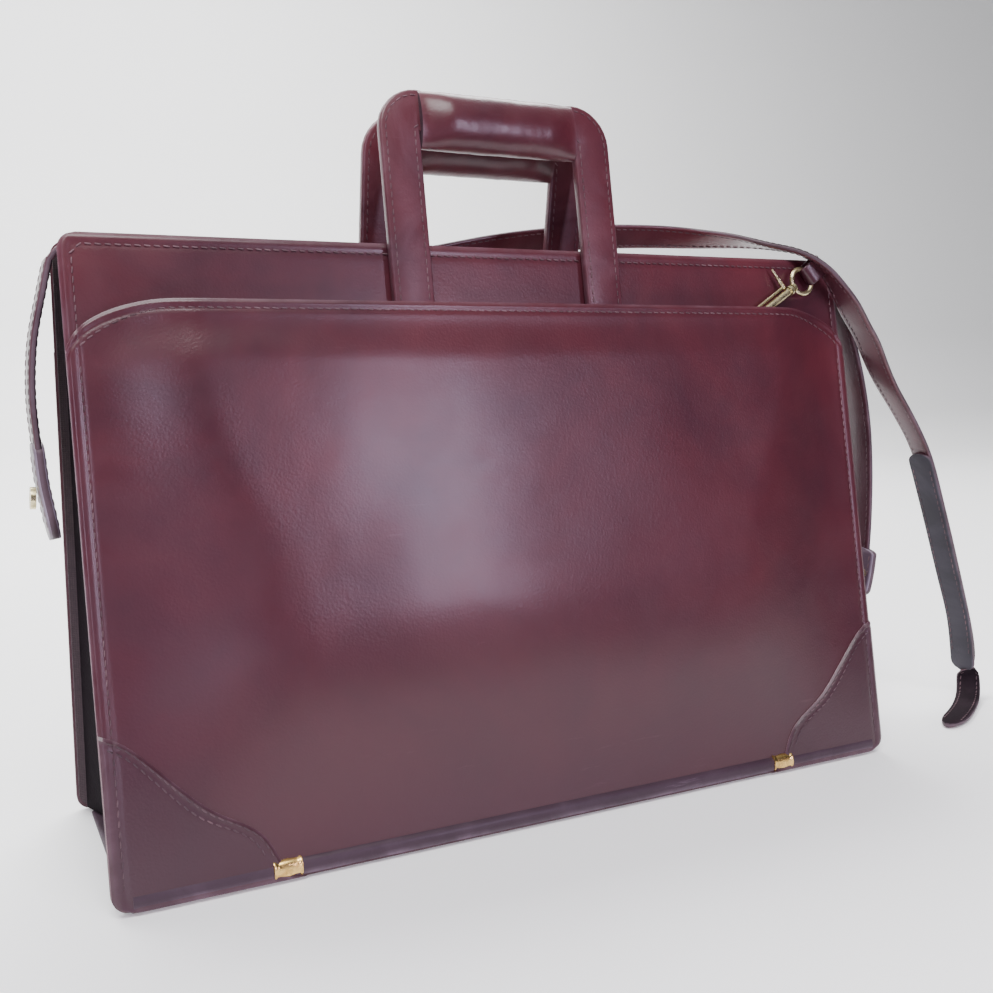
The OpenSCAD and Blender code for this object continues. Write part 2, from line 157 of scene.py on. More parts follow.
def leather(name, color, dark, rub, gloss=0.34, coat=0.35, pebble=900.0, bump=0.22, wear=1.0, shine=0.5):
    """Hide with painted shade that darkens it towards the floor, with rubbed edges in the colour rub."""
    material = bpy.data.materials.new(name)
    material.use_nodes = True
    tree = material.node_tree
    shader = tree.nodes["Principled BSDF"]
    hide = add_node(tree, "ShaderNodeGroup", node_tree=HIDE)
    hide.inputs["Pebble size"].default_value = pebble
    edge = add_node(tree, "ShaderNodeAttribute", attribute_name="rub")
    tint = mix_color(tree, hide.outputs["Tone"], color, dark)
    # Painted shade: the hide turns towards its dark colour near the floor.
    painted_floor_shade = mix_color(tree, math_node(tree, "MULTIPLY", hide.outputs["Painted floor shade"], 0.9), tint, dark)
    smudged = math_node(tree, "ADD", hide.outputs["Smudge"], 0.25)
    rubbed = math_node(tree, "MULTIPLY", edge.outputs["Fac"], smudged)
    rubbed = math_node(tree, "MULTIPLY", rubbed, wear)
    worn = math_node(tree, "MINIMUM", math_node(tree, "ADD", rubbed,
                     math_node(tree, "MULTIPLY", hide.outputs["Scratch"], 0.35 * wear)), 0.85)
    plug(tree, mix_color(tree, worn, painted_floor_shade, rub), shader.inputs["Base Color"])
    rough = math_node(tree, "ADD", math_node(tree, "MULTIPLY", hide.outputs["Smudge"], 0.10), gloss)
    rough = math_node(tree, "ADD", rough, math_node(tree, "MULTIPLY", worn, 0.2))
    plug(tree, rough, shader.inputs["Roughness"])
    shader.inputs["Coat Weight"].default_value = coat
    shader.inputs["Coat Roughness"].default_value = 0.22
    shader.inputs["Specular IOR Level"].default_value = shine
    relief = add_node(tree, "ShaderNodeBump")
    relief.inputs["Strength"].default_value = bump
    relief.inputs["Distance"].default_value = 0.0006
    plug(tree, hide.outputs["Height"], relief.inputs["Height"])
    plug(tree, relief.outputs["Normal"], shader.inputs["Normal"])
    return material


burgundy = leather("burgundy_hide", (0.105, 0.018, 0.025), (0.042, 0.009, 0.016), rub=(0.26, 0.15, 0.19),
                   coat=0.25, wear=0.3, shine=0.33)
dark_edge = leather("dark_cut_edge", (0.050, 0.020, 0.028), (0.026, 0.011, 0.016), rub=(0.16, 0.10, 0.13),
                    gloss=0.5, coat=0.05, pebble=1800.0, bump=0.4, wear=0.5)
worn_thread = leather("worn_thread", (0.085, 0.026, 0.034), (0.030, 0.010, 0.015), rub=(0.34, 0.20, 0.22),
                      gloss=0.55, coat=0.0, pebble=3000.0, bump=0.5, wear=0.7)

# Both faces lean in at the slope of the front handle's slide. A place on a face is
# u along the case, v up the slope and off outwards from the leather.
slide_axis = {joint["name"]: Vector(joint["axis"]) for joint in frame["joints"]}["front_handle_slide"]
SLOPE = -slide_axis.normalized()
OUTWARD = Vector((0.0, -SLOPE.z, SLOPE.y))
face_low, face_high = (Vector(corner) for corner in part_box("front_panel"))
FACE_LEATHER = 0.002
# The hide stops this far above the foot, inside the bottom binding.
UNDER_BINDING = 0.0016
HALF = face_high.x
FOOT = Vector((0.0, face_low.y, face_low.z + FACE_LEATHER * SLOPE.y)) - SLOPE * UNDER_BINDING
FACE_H = (face_high.z - FOOT.z) / SLOPE.z
CORNER = 0.008


def on_face(u, v, off, side):
    spot = Vector((u, 0.0, 0.0)) + FOOT + SLOPE * v + OUTWARD * off
    return spot if side == "front" else Vector((spot.x, -spot.y, spot.z))


def half_at(v, height=FACE_H, corner=CORNER):
    drop = max(corner - v, v - (height - corner), 0.0)
    drop = min(drop, corner)
    return HALF - (corner - math.sqrt(max(corner ** 2 - drop ** 2, 0.0)))


def smooth_step(x):
    x = min(max(x, 0.0), 1.0)
    return x * x * (3.0 - 2.0 * x)


def build(name, points, faces, materials, face_materials=None, rubs=None):
    """Smooth mesh piece; rubs says how far each point is worn."""
    mesh = bpy.data.meshes.new(name)
    mesh.from_pydata([tuple(p) for p in points], [], faces)
    for material in materials:
        mesh.materials.append(material)
    if face_materials is not None:
        mesh.polygons.foreach_set("material_index", face_materials)
    attribute = mesh.attributes.new("rub", "FLOAT", "POINT")
    attribute.data.foreach_set("value", rubs if rubs is not None else [0.0] * len(points))
    work = bmesh.new()
    work.from_mesh(mesh)
    bmesh.ops.recalc_face_normals(work, faces=work.faces)
    work.to_mesh(mesh)
    work.free()
    mesh.polygons.foreach_set("use_smooth", [True] * len(mesh.polygons))
    mesh.update()
    piece = bpy.data.objects.new(name, mesh)
    bpy.context.scene.collection.objects.link(piece)
    return piece


def grid_shell(name, outer, inner, materials, rub=None):
    """Closed shell between two grids of points; its rim gets the second material."""
    rows, cols = len(outer), len(outer[0])
    points = [p for row in outer for p in row] + [p for row in inner for p in row]
    count = rows * cols
    faces, marks = [], []
    for i in range(rows - 1):
        for j in range(cols - 1):
            a, b, c, d = i * cols + j, i * cols + j + 1, (i + 1) * cols + j + 1, (i + 1) * cols + j
            faces += [(a, b, c, d), (a + count, d + count, c + count, b + count)]
            marks += [0, 0]
    rim = [(0, j) for j in range(cols)] + [(i, cols - 1) for i in range(1, rows)]
    rim += [(rows - 1, j) for j in range(cols - 2, -1, -1)] + [(i, 0) for i in range(rows - 2, 0, -1)]
    ids = [i * cols + j for i, j in rim]
    for a, b in zip(ids, ids[1:] + ids[:1]):
        faces.append((a, a + count, b + count, b))
        marks.append(1)
    rubs = None
    if rub:
        flat_rub = [value for row in rub for value in row]
        rubs = flat_rub + flat_rub
    piece = build(name, points, faces, materials, marks, rubs)
    sharpen(piece, 38.0)
    return piece


def sharpen(piece, angle):
    """Keeps the edges sharp where the surface turns by more than angle degrees."""
    work = bmesh.new()
    work.from_mesh(piece.data)
    for edge in work.edges:
        if len(edge.link_faces) == 2 and edge.calc_face_angle(0.0) > math.radians(angle):
            edge.smooth = False
    work.to_mesh(piece.data)
    work.free()


def finish_piece(piece, body, slot, *nodes):
    """body is a body's name, or the two places between which a soft piece spans
    from the case to the front half; those places are not used, and such a piece is only baked where it
    stands."""
    if isinstance(body, str):
        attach(piece, body)
    else:
        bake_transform(piece)
    if nodes:
        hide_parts(*nodes)


# Each stitch is a short bead of thread that lies slanted in its own dent.
STITCH_PITCH = 0.0041
STITCH_LENGTH = 0.0029
STITCH_RADIUS = 0.00036
BEAD_ENDS = ((-0.5, 0.25), (-0.42, 0.8), (-0.2, 1.0), (0.2, 1.0), (0.42, 0.8), (0.5, 0.25))
BEAD_SIDES = 6


def stitch_line(route, normal_at, skip=0):
    """Beads along a route of points; normal_at gives the outward direction at a bead."""
    beads = []
    lengths = [0.0]
    for a, b in zip(route, route[1:]):
        lengths.append(lengths[-1] + (b - a).length)
    count = int(lengths[-1] / STITCH_PITCH)
    spot = 0
    for k in range(skip, count - skip):
        target = (k + 0.5) * lengths[-1] / count
        while spot < len(lengths) - 2 and lengths[spot + 1] < target:
            spot += 1
        share = (target - lengths[spot]) / max(lengths[spot + 1] - lengths[spot], 1e-9)
        middle = route[spot].lerp(route[spot + 1], share)
        along = (route[spot + 1] - route[spot]).normalized()
        up = normal_at(middle)
        across = along.cross(up).normalized()
        up = across.cross(along)
        slant = along * math.cos(0.10) + across * math.sin(0.10)
        beads.append((middle, slant, across, up))
    return beads


def stitches(name, lines, material, body):
    points, faces, rubs = [], [], []
    for middle, along, across, up in (bead for line in lines for bead in line):
        base = len(points)
        worn = 0.5 + 0.5 * noise.noise(middle * 60.0)
        for reach, girth in BEAD_ENDS:
            ring = middle + along * reach * STITCH_LENGTH
            for k in range(BEAD_SIDES):
                angle = 2 * math.pi * k / BEAD_SIDES
                offset = across * math.cos(angle) + up * math.sin(angle) * 0.75
                points.append(ring + offset * girth * STITCH_RADIUS)
                rubs.append(worn)
        for r in range(len(BEAD_ENDS) - 1):
            for k in range(BEAD_SIDES):
                a, b = base + r * BEAD_SIDES + k, base + r * BEAD_SIDES + (k + 1) % BEAD_SIDES
                faces.append((a, b, b + BEAD_SIDES, a + BEAD_SIDES))
        faces.append(tuple(base + k for k in range(BEAD_SIDES)))
        faces.append(tuple(base + (len(BEAD_ENDS) - 1) * BEAD_SIDES + k for k in range(BEAD_SIDES)))
    finish_piece(build(name, points, faces, [material], rubs=rubs), body, "leather_dark")


def side_normal(side):
    normal = OUTWARD.copy() if side == "front" else Vector((0.0, -OUTWARD.y, OUTWARD.z))
    return lambda spot: normal


BODY_OF = {"front": "front_half", "back": "case"}
SEAM_IN = 0.0054
SEAM_TURN = 0.004
BARE_TOP = 0.056


def face_relief(u, v):
    """Rolled edge, the groove of the seam and a slow waviness of the hide."""
    edge = min(half_at(v) - abs(u), FACE_H - v)
    roll = -0.0011 * (1.0 - smooth_step(edge / 0.0022))
    groove = -0.00028 * math.exp(-((edge - SEAM_IN) / 0.0011) ** 2)
    wave = 0.0003 * noise.noise(Vector((u * 14.0, v * 14.0, 3.0)))
    return roll + groove + wave - 0.0002


def edge_spread(count, tight):
    """Shares from 0 to 1 that lie closer together towards both ends."""
    shares = [i / count for i in range(count + 1)]
    return [t - tight * math.sin(2 * math.pi * t) / (2 * math.pi) for t in shares]


def make_face(side):
    outer, inner, rub = [], [], []
    for tv in edge_spread(64, 0.8):
        v = tv * FACE_H
        outer_row, inner_row, rub_row = [], [], []
        for tu in edge_spread(96, 0.9):
            u = (2 * tu - 1) * half_at(v)
            edge = min(half_at(v) - abs(u), FACE_H - v)
            outer_row.append(on_face(u, v, face_relief(u, v), side))
            inner_row.append(on_face(u, v, -FACE_LEATHER + 0.0001, side))
            rub_row.append(max(0.0, 1.0 - edge / 0.003))
        outer.append(outer_row)
        inner.append(inner_row)
        rub.append(rub_row)
    piece = grid_shell(side + "_face", outer, inner, [burgundy, dark_edge], rub)
    finish_piece(piece, BODY_OF[side], "leather", side + "_panel")
    top_v = FACE_H - SEAM_IN
    reach = HALF - SEAM_IN
    low_v = FACE_H - BARE_TOP
    turn_v = top_v - SEAM_TURN
    route = [on_face(-reach, v, 0.0, side) for v in np.linspace(low_v, turn_v, 12)]
    route += [on_face(u, top_v, 0.0, side) for u in np.linspace(-reach + SEAM_TURN, reach - SEAM_TURN, 80)]
    route += [on_face(reach, v, 0.0, side) for v in np.linspace(turn_v, low_v, 12)]
    stitches(side + "_face_stitches", [stitch_line(route, side_normal(side))], worn_thread,
             BODY_OF[side])


for side in ("front", "back"):
    make_face(side)

# ---------------------------------------------------------------------------
# Outer pockets: a padded hide panel sewn flat to the face at the sides and the
# bottom. It stands off the face at the top, where the handles slide in.
# ---------------------------------------------------------------------------
cut_edge = leather("pale_cut_edge", (0.290, 0.150, 0.160), (0.150, 0.065, 0.075), rub=(0.45, 0.32, 0.33),
                   gloss=0.6, coat=0.0, pebble=1800.0, bump=0.5)
POCKET_TOP = FACE_H - 0.030
POCKET_SIDE = FACE_H - 0.054
SWEEP = 0.044
POCKET_LEATHER = 0.0019
POCKET_OUT = 0.0098
BORDER = 0.008
SEAM_DROP = 0.0042
ON_TOP = 0.0001


def pocket_top(u):
    """Height of the top edge, which sweeps down to the sides."""
    past = abs(u) - (HALF - SWEEP)
    if past <= 0.0:
        return POCKET_TOP
    share = min(past / SWEEP, 0.995)
    return POCKET_SIDE + (POCKET_TOP - POCKET_SIDE) * math.sqrt(1.0 - share * share)


def pocket_off(u, v):
    """How far the pocket stands off the face: padding, dents, lip and seams."""
    side_edge = half_at(v) - abs(u)
    top_edge = pocket_top(u) - v
    side_ramp = 0.050 + 0.040 * smooth_step((POCKET_TOP - v - 0.03) / 0.12)
    rise = smooth_step((side_edge - BORDER) / side_ramp) * smooth_step((v - BORDER - 0.002) / 0.110)
    swell = smooth_step((top_edge - 0.0085) / 0.020)
    lip = smooth_step((HALF - abs(u)) / 0.045)
    off = 0.0023 + rise * (0.0052 * lip + 0.0008 + (POCKET_OUT - 0.0083 + 0.0052 * (1 - lip)) * swell)
    belly = (1 - (u / HALF) ** 2) * math.sin(math.pi * min(max(v / POCKET_TOP, 0), 1))
    wave = noise.noise(Vector((u * 8.0, v * 9.0, 7.0)))
    wave += 0.4 * noise.noise(Vector((u * 21.0, v * 23.0, 1.0)))
    off += rise * swell * (0.0016 * belly + 0.0009 * wave)
    seam = -0.0004 * math.exp(-((top_edge - SEAM_DROP) / 0.0012) ** 2)
    seam += -0.0004 * math.exp(-((side_edge - SEAM_IN) / 0.0012) ** 2)
    edge = min(side_edge, top_edge)
    return off + seam - 0.0008 * (1 - smooth_step(edge / 0.0018))


def make_pocket(side):
    outer, inner, rub = [], [], []
    for tv in edge_spread(110, 0.75):
        outer_row, inner_row, rub_row = [], [], []
        for tu in edge_spread(150, 0.85):
            flat_u = (2 * tu - 1) * HALF
            v = tv * pocket_top(flat_u)
            u = (2 * tu - 1) * half_at(v)
            off = pocket_off(u, v)
            outer_row.append(on_face(u, v, off, side))
            inner_row.append(on_face(u, v, max(off - POCKET_LEATHER, 0.0002), side))
            edge = min(pocket_top(u) - v, half_at(v) - abs(u))
            rub_row.append(max(0.0, 1.0 - edge / 0.0016) * 0.9)
        outer.append(outer_row)
        inner.append(inner_row)
        rub.append(rub_row)
    piece = grid_shell(side + "_outer_pocket", outer, inner, [burgundy, cut_edge], rub)
    finish_piece(piece, BODY_OF[side], "leather", side + "_pocket")
    top_route = []
    for u in np.linspace(-HALF + SEAM_IN, HALF - SEAM_IN, 160):
        past = abs(u) / HALF
        v = pocket_top(u) - SEAM_DROP * (1.0 + 0.9 * smooth_step((past - 0.8) / 0.2))
        top_route.append(on_face(u, v, pocket_off(u, v) + ON_TOP, side))
    lines = [stitch_line(top_route, side_normal(side))]
    for sign in (-1, 1):
        u = sign * (HALF - SEAM_IN)
        route = [on_face(u, v, pocket_off(u, v) + ON_TOP, side)
                 for v in np.linspace(0.012, POCKET_SIDE - 0.004, 60)]
        lines.append(stitch_line(route, side_normal(side)))
    stitches(side + "_pocket_stitches", lines, worn_thread, BODY_OF[side])


for side in ("front", "back"):
    make_pocket(side)

# ---------------------------------------------------------------------------
# Corner patches: a second layer of hide over each lower corner, cut to a
# curve, with a pale raw edge and two rows of stitches.
# ---------------------------------------------------------------------------
wine_trim = leather("wine_trim_hide", (0.074, 0.016, 0.024), (0.036, 0.010, 0.017), rub=(0.26, 0.16, 0.20),
                    coat=0.22, bump=0.3, wear=0.35, shine=0.33)
thread = leather("waxed_thread", (0.050, 0.014, 0.022), (0.028, 0.010, 0.016), rub=(0.32, 0.18, 0.20),
                 gloss=0.5, coat=0.0, pebble=3000.0, bump=0.5, wear=0.5)
PATCH_EDGE = [(0.0, 0.0755), (0.013, 0.0675), (0.041, 0.039), (0.065, 0.022), (0.0755, 0.0)]
PATCH_LEATHER = 0.0013
PATCH_SEAMS = (0.0032, 0.0064)


def curve_point(points, spot, t):
    """Place at share t of the way from a point to its next, on a smooth curve."""
    near = [points[min(max(spot + k, 0), len(points) - 1)] for k in (-1, 0, 1, 2)]
    return [b + t * (c - a) / 2 + t * t * (2 * a - 5 * b + 4 * c - d) / 2
            + t ** 3 * (3 * b - a - 3 * c + d) / 2 for a, b, c, d in zip(*near)]


def make_patches(side):
    for sign, name in ((-1, "left"), (1, "right")):
        outer, inner, rub, seam_rows = [], [], [], ([], [])
        for i in range(61):
            along = i / 60 * (len(PATCH_EDGE) - 1)
            spot = min(int(along), len(PATCH_EDGE) - 2)
            x_edge, v_edge = curve_point(PATCH_EDGE, spot, along - spot)
            outer_row, inner_row, rub_row = [], [], []
            for j in range(41):
                t = (j / 40) ** 0.8
                x = x_edge * t
                v = v_edge * t
                u = sign * (half_at(v) - x - 0.0001)
                rim = math.hypot(x_edge - x, v_edge - v)
                off = pocket_off(u, v) + PATCH_LEATHER * smooth_step(0.35 + rim / 0.0012)
                off -= 0.0003 * math.exp(-((rim - PATCH_SEAMS[0]) / 0.0009) ** 2)
                outer_row.append(on_face(u, v, off, side))
                inner_row.append(on_face(u, v, pocket_off(u, v) + ON_TOP, side))
                rub_row.append(max(0.0, 1 - rim / 0.0012, 0.8 - min(abs(half_at(v) - abs(u)), v) / 0.006))
            outer.append(outer_row)
            inner.append(inner_row)
            rub.append(rub_row)
            for row, inset in zip(seam_rows, PATCH_SEAMS):
                length = math.hypot(x_edge, v_edge)
                t = 1 - inset / length
                x, v = x_edge * t + 0.001, v_edge * t + 0.001
                u = sign * (HALF - x)
                if v > 0.011 and x > 0.002:
                    row.append(on_face(u, v, pocket_off(u, v) + PATCH_LEATHER + ON_TOP, side))
        piece = grid_shell(f"{side}_{name}_corner_patch", outer, inner, [wine_trim, cut_edge], rub)
        nodes = (side + "_corner_patches",) if sign == -1 else ()
        finish_piece(piece, BODY_OF[side], "leather_dark", *nodes)
        edge_u = sign * (HALF - SEAM_IN)
        route = [on_face(edge_u, v, pocket_off(edge_u, v) + PATCH_LEATHER + ON_TOP, side)
                 for v in np.linspace(0.010, 0.066, 20)]
        lines = [stitch_line(row, side_normal(side)) for row in seam_rows]
        lines.append(stitch_line(route, side_normal(side)))
        stitches(f"{side}_{name}_patch_stitches", lines, thread, BODY_OF[side])


for side in ("front", "back"):
    make_patches(side)

# ---------------------------------------------------------------------------
# Bottom bindings: a strip of hide folded round the lower edge of each face.
# It takes the scuffs when the case is put down.
# ---------------------------------------------------------------------------
bottom_hide = leather("scuffed_bottom_hide", (0.050, 0.020, 0.032), (0.028, 0.012, 0.020),
                      rub=(0.22, 0.15, 0.20), wear=0.8, gloss=0.45, coat=0.05, shine=0.3)
BINDING_H = 0.0088
BINDING_FRONT = 0.0040
BINDING_BACK = -0.0054
BINDING_DEEP = BINDING_FRONT - BINDING_BACK
BINDING_MIDDLE = (BINDING_FRONT + BINDING_BACK) / 2
BINDING_ROUND = 0.0036


def rounded_profile(width, height, radius, steps=5):
    """Closed outline of a rounded box about the origin."""
    outline = []
    for cx, cy, start in ((1, 1, 0), (-1, 1, 90), (-1, -1, 180), (1, -1, 270)):
        for k in range(steps + 1):
            angle = math.radians(start + 90.0 * k / steps)
            outline.append((cx * (width / 2 - radius) + radius * math.cos(angle),
                            cy * (height / 2 - radius) + radius * math.sin(angle)))
    return outline


def loft(name, rings, materials, marks=None, rubs=None, closed=False):
    """Skin through rings of points, capped at both ends unless closed."""
    sides = len(rings[0])
    points = [p for ring in rings for p in ring]
    faces, face_marks = [], []
    spans = len(rings) if closed else len(rings) - 1
    for i in range(spans):
        n = (i + 1) % len(rings)
        for k in range(sides):
            m = (k + 1) % sides
            faces.append((i * sides + k, i * sides + m, n * sides + m, n * sides + k))
            face_marks.append(marks[k] if marks else 0)
    if not closed:
        faces.append(tuple(range(sides)))
        faces.append(tuple((len(rings) - 1) * sides + k for k in range(sides)))
        face_marks += [len(materials) - 1] * 2
    flat_rubs = [value for ring in rubs for value in ring] if rubs else None
    piece = build(name, points, faces, materials, face_marks, flat_rubs)
    sharpen(piece, 50.0)
    return piece


def make_binding(side):
    middle_v = BINDING_H / 2 + 0.0001
    rings, rubs = [], []
    reach = HALF - 0.0085
    for u in np.linspace(-reach, reach, 140):
        ring, rub = [], []
        for off, v in rounded_profile(BINDING_DEEP, BINDING_H, BINDING_ROUND):
            ripple = 0.0002 * noise.noise(Vector((u * 90.0, v * 300.0, off * 300.0)))
            stand = BINDING_MIDDLE + off * (1 + ripple * 60)
            ring.append(on_face(u, middle_v + v + abs(ripple), stand, side))
            rub.append(0.12 + 0.88 * smooth_step((-0.0008 - v) / 0.003))
        rings.append(ring)
        rubs.append(rub)
    piece = loft(side + "_bottom_binding", rings, [bottom_hide], rubs=rubs)
    finish_piece(piece, BODY_OF[side], "leather_dark", side + "_binding")


for side in ("front", "back"):
    make_binding(side)

# ---------------------------------------------------------------------------
# Ferrules: two rolled brass sleeves pinched over each bottom binding, which the
# case stands on. The brass is polished by handling, with darker tarnish in
# patches and fine scratches.
# ---------------------------------------------------------------------------


def metal_group():
    group = bpy.data.node_groups.new("tarnish", "ShaderNodeTree")
    for name in ("Tarnish", "Scratch", "Height"):
        group.interface.new_socket(name, in_out="OUTPUT", socket_type="NodeSocketFloat")
    out = add_node(group, "NodeGroupOutput")
    where = add_node(group, "ShaderNodeTexCoord").outputs["Object"]
    cloud = noise_node(group, where, 320.0, 5.0, 0.6, 0.5)
    stretch = add_node(group, "ShaderNodeMapping")
    stretch.inputs["Scale"].default_value = (300.0, 2400.0, 2400.0)
    plug(group, where, stretch.inputs["Vector"])
    line = noise_node(group, stretch.outputs["Vector"], 1.0, 3.0, 0.6)
    plug(group, remap(group, cloud.outputs["Fac"], 0.42, 0.66), out.inputs["Tarnish"])
    plug(group, remap(group, line.outputs["Fac"], 0.55, 0.7), out.inputs["Scratch"])
    plug(group, line.outputs["Fac"], out.inputs["Height"])
    return group


TARNISH = metal_group()


def brass(name, bright, dull, rough):
    material = bpy.data.materials.new(name)
    material.use_nodes = True
    tree = material.node_tree
    shader = tree.nodes["Principled BSDF"]
    age = add_node(tree, "ShaderNodeGroup", node_tree=TARNISH)
    plug(tree, mix_color(tree, age.outputs["Tarnish"], bright, dull), shader.inputs["Base Color"])
    roughness = math_node(tree, "ADD", math_node(tree, "MULTIPLY", age.outputs["Tarnish"], 0.18), rough)
    plug(tree, roughness, shader.inputs["Roughness"])
    shader.inputs["Metallic"].default_value = 1.0
    relief = add_node(tree, "ShaderNodeBump")
    relief.inputs["Strength"].default_value = 0.12
    relief.inputs["Distance"].default_value = 0.0002
    plug(tree, age.outputs["Height"], relief.inputs["Height"])
    plug(tree, relief.outputs["Normal"], shader.inputs["Normal"])
    return material


gold_brass = brass("polished_brass", (0.86, 0.58, 0.20), (0.55, 0.33, 0.10), 0.20)
FERRULE_AT = 0.141
FERRULE_HALF = 0.0066
# Share of the half length from a ferrule's middle, and how far it stands out there.
FERRULE_SHAPE = ((-1.0, 0.0002), (-0.98, 0.0008), (-0.86, 0.0009), (-0.76, 0.0005), (-0.6, 0.0005),
                 (0.0, 0.0008), (0.6, 0.0005), (0.76, 0.0005), (0.86, 0.0009), (0.98, 0.0008), (1.0, 0.0002))


def make_ferrules(side):
    middle_v = BINDING_H / 2 + 0.0006
    for sign, name in ((-1, "left"), (1, "right")):
        rings = []
        for reach, stand in FERRULE_SHAPE:
            u = sign * FERRULE_AT + reach * FERRULE_HALF
            width = BINDING_DEEP + 2 * stand - 0.0003
            height = BINDING_H + 2 * stand - 0.0012
            rings.append([on_face(u, max(middle_v + v, 0.0004), BINDING_MIDDLE + off, side)
                          for off, v in rounded_profile(width, height, BINDING_ROUND)])
        piece = loft(f"{side}_{name}_ferrule", rings, [gold_brass])
        nodes = (side + "_ferrules",) if sign == -1 else ()
        finish_piece(piece, BODY_OF[side], "brass", *nodes)


for side in ("front", "back"):
    make_ferrules(side)

# ---------------------------------------------------------------------------
# Carry handles: a flat doubled strap bent into an arch and stitched along both
# edges, with a padded grip wrapped round its top. Its legs slide behind the
# pocket in a hide guide, and a stop bar keeps them in.
# ---------------------------------------------------------------------------
ARCH_THICK = 0.005
ARCH_OFF = 0.0005
ARCH_MIDDLE = ARCH_OFF + ARCH_THICK / 2
ARCH_BEND = 0.0102
ARCH_SEAM = 0.0030
LEG_WIDE = 0.021


def handle_sizes(side):
    """Left and right ends of the arch, and its foot and top up the slope."""
    low, high = (Vector(corner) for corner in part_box(side + "_handle_strap"))
    top_v = (high.z - FOOT.z) / SLOPE.z - ARCH_THICK * SLOPE.y
    foot_v = (low.z - FOOT.z) / SLOPE.z
    return low.x, high.x, foot_v, top_v


def handle_path(side):
    """Centre line of the arch as (u, v, width)."""
    left, right, foot_v, top_v = handle_sizes(side)
    half = LEG_WIDE / 2
    bend = ARCH_BEND
    turn_v = top_v - half - bend
    path = [(left + half, v, LEG_WIDE) for v in np.linspace(foot_v, turn_v, 26)]
    for k in range(1, 9):
        angle = math.radians(90.0 * k / 8)
        path.append((left + half + bend - bend * math.cos(angle), turn_v + bend * math.sin(angle), LEG_WIDE))
    crossing = np.linspace(left + half + bend, right - half - bend, 16)[1:-1]
    path += [(u, top_v - half, LEG_WIDE * (0.84 if 2 < k < 11 else 0.94)) for k, u in enumerate(crossing)]
    for k in range(0, 9):
        angle = math.radians(90.0 * k / 8)
        u = right - half - bend + bend * math.sin(angle)
        path.append((u, turn_v + bend * math.cos(angle), LEG_WIDE))
    path += [(right - half, v, LEG_WIDE) for v in np.linspace(turn_v, foot_v, 26)[1:]]
    return path


def path_across(path, i):
    """Direction across the arch at its place i."""
    a, b = path[max(i - 1, 0)], path[min(i + 1, len(path) - 1)]
    run = Vector((b[0] - a[0], b[1] - a[1])).normalized()
    return Vector((run.y, -run.x))


def make_handle(side):
    body = side + "_handle"
    path = handle_path(side)
    rings, rubs = [], []
    for i, (u, v, wide) in enumerate(path):
        across = path_across(path, i)
        ring, rub = [], []
        for w, t in rounded_profile(wide, ARCH_THICK, 0.0013, 4):
            lift = 0.0004 * noise.noise(Vector((u * 40, v * 40, 5.0)))
            crown = 0.0003 * (1 - (2 * w / wide) ** 2) if t > 0 else 0.0
            ring.append(on_face(u + across.x * w, v + across.y * w,
                                ARCH_MIDDLE + t + crown + lift * 0.4, side))
            rub.append(smooth_step((abs(w) - wide / 2 + 0.0022) / 0.002))
        rings.append(ring)
        rubs.append(rub)
    piece = loft(side + "_handle_arch", rings, [burgundy, dark_edge], rubs=rubs)
    finish_piece(piece, body, "leather", side + "_handle_strap")
    left, right, _, top_v = handle_sizes(side)
    lines = []
    for w in (ARCH_SEAM - LEG_WIDE / 2, LEG_WIDE / 2 - ARCH_SEAM):
        for off in (ARCH_OFF + ARCH_THICK + 0.0002, ARCH_OFF - 0.0001):
            left_leg, right_leg = [], []
            for i, (u, v, _) in enumerate(path):
                if left + LEG_WIDE < u < right - LEG_WIDE:
                    continue
                across = path_across(path, i)
                leg = left_leg if u < (left + right) / 2 else right_leg
                leg.append(on_face(u + across.x * w, v + across.y * w, off, side))
            lines += [stitch_line(leg, side_normal(side)) for leg in (left_leg, right_leg)]
    stitches(side + "_handle_stitches", lines, worn_thread, body)
    make_grip(side, left + LEG_WIDE, right - LEG_WIDE, top_v)


GRIP_HIGH = 0.029
GRIP_DEEP = 0.0196


def make_grip(side, left, right, top_v):
    middle_v = top_v - GRIP_HIGH / 2
    rings, rubs = [], []
    steps, sides = 64, 40
    for i in range(steps + 1):
        t = i / steps
        u = left + 0.0003 + (right - left - 0.0006) * t
        end = min(t, 1 - t)
        full = smooth_step(end / 0.2)
        deep = GRIP_DEEP * (0.62 + 0.38 * full)
        ring, rub = [], []
        for k in range(sides):
            angle = 2 * math.pi * k / sides
            fold = noise.noise(Vector((u * 75.0, math.cos(angle) * 1.3, math.sin(angle) * 1.3 + 4)))
            pinch = noise.noise(Vector((u * 260.0, math.cos(angle) * 2.0, math.sin(angle) * 2.0)))
            girth = 1 + (0.022 * fold + 0.008 * pinch) * full
            square = 0.92 + 0.08 * full
            high = math.copysign(abs(math.sin(angle)) ** square, math.sin(angle)) * GRIP_HIGH / 2 * girth
            off = ARCH_MIDDLE + math.cos(angle) * deep / 2 * girth
            ring.append(on_face(u, middle_v + high, off, side))
            rub.append(max(0.0, fold) * 0.5 + 0.6 * (1 - smooth_step(end / 0.02)))
        rings.append(ring)
        rubs.append(rub)
    piece = loft(side + "_padded_grip", rings, [burgundy, dark_edge], rubs=rubs)
    finish_piece(piece, side + "_handle", "leather", side + "_grip")
    lines = []
    down = -SLOPE if side == "front" else Vector((0.0, SLOPE.y, -SLOPE.z))
    for angle in (math.radians(278), math.radians(262)):
        route = [on_face(u, middle_v + math.sin(angle) * GRIP_HIGH / 2 * 0.985,
                         ARCH_MIDDLE + math.cos(angle) * GRIP_DEEP / 2, side)
                 for u in np.linspace(left + 0.003, right - 0.003, 40)]
        lines.append(stitch_line(route, lambda spot: down))
    stitches(side + "_grip_stitches", lines, worn_thread, side + "_handle")


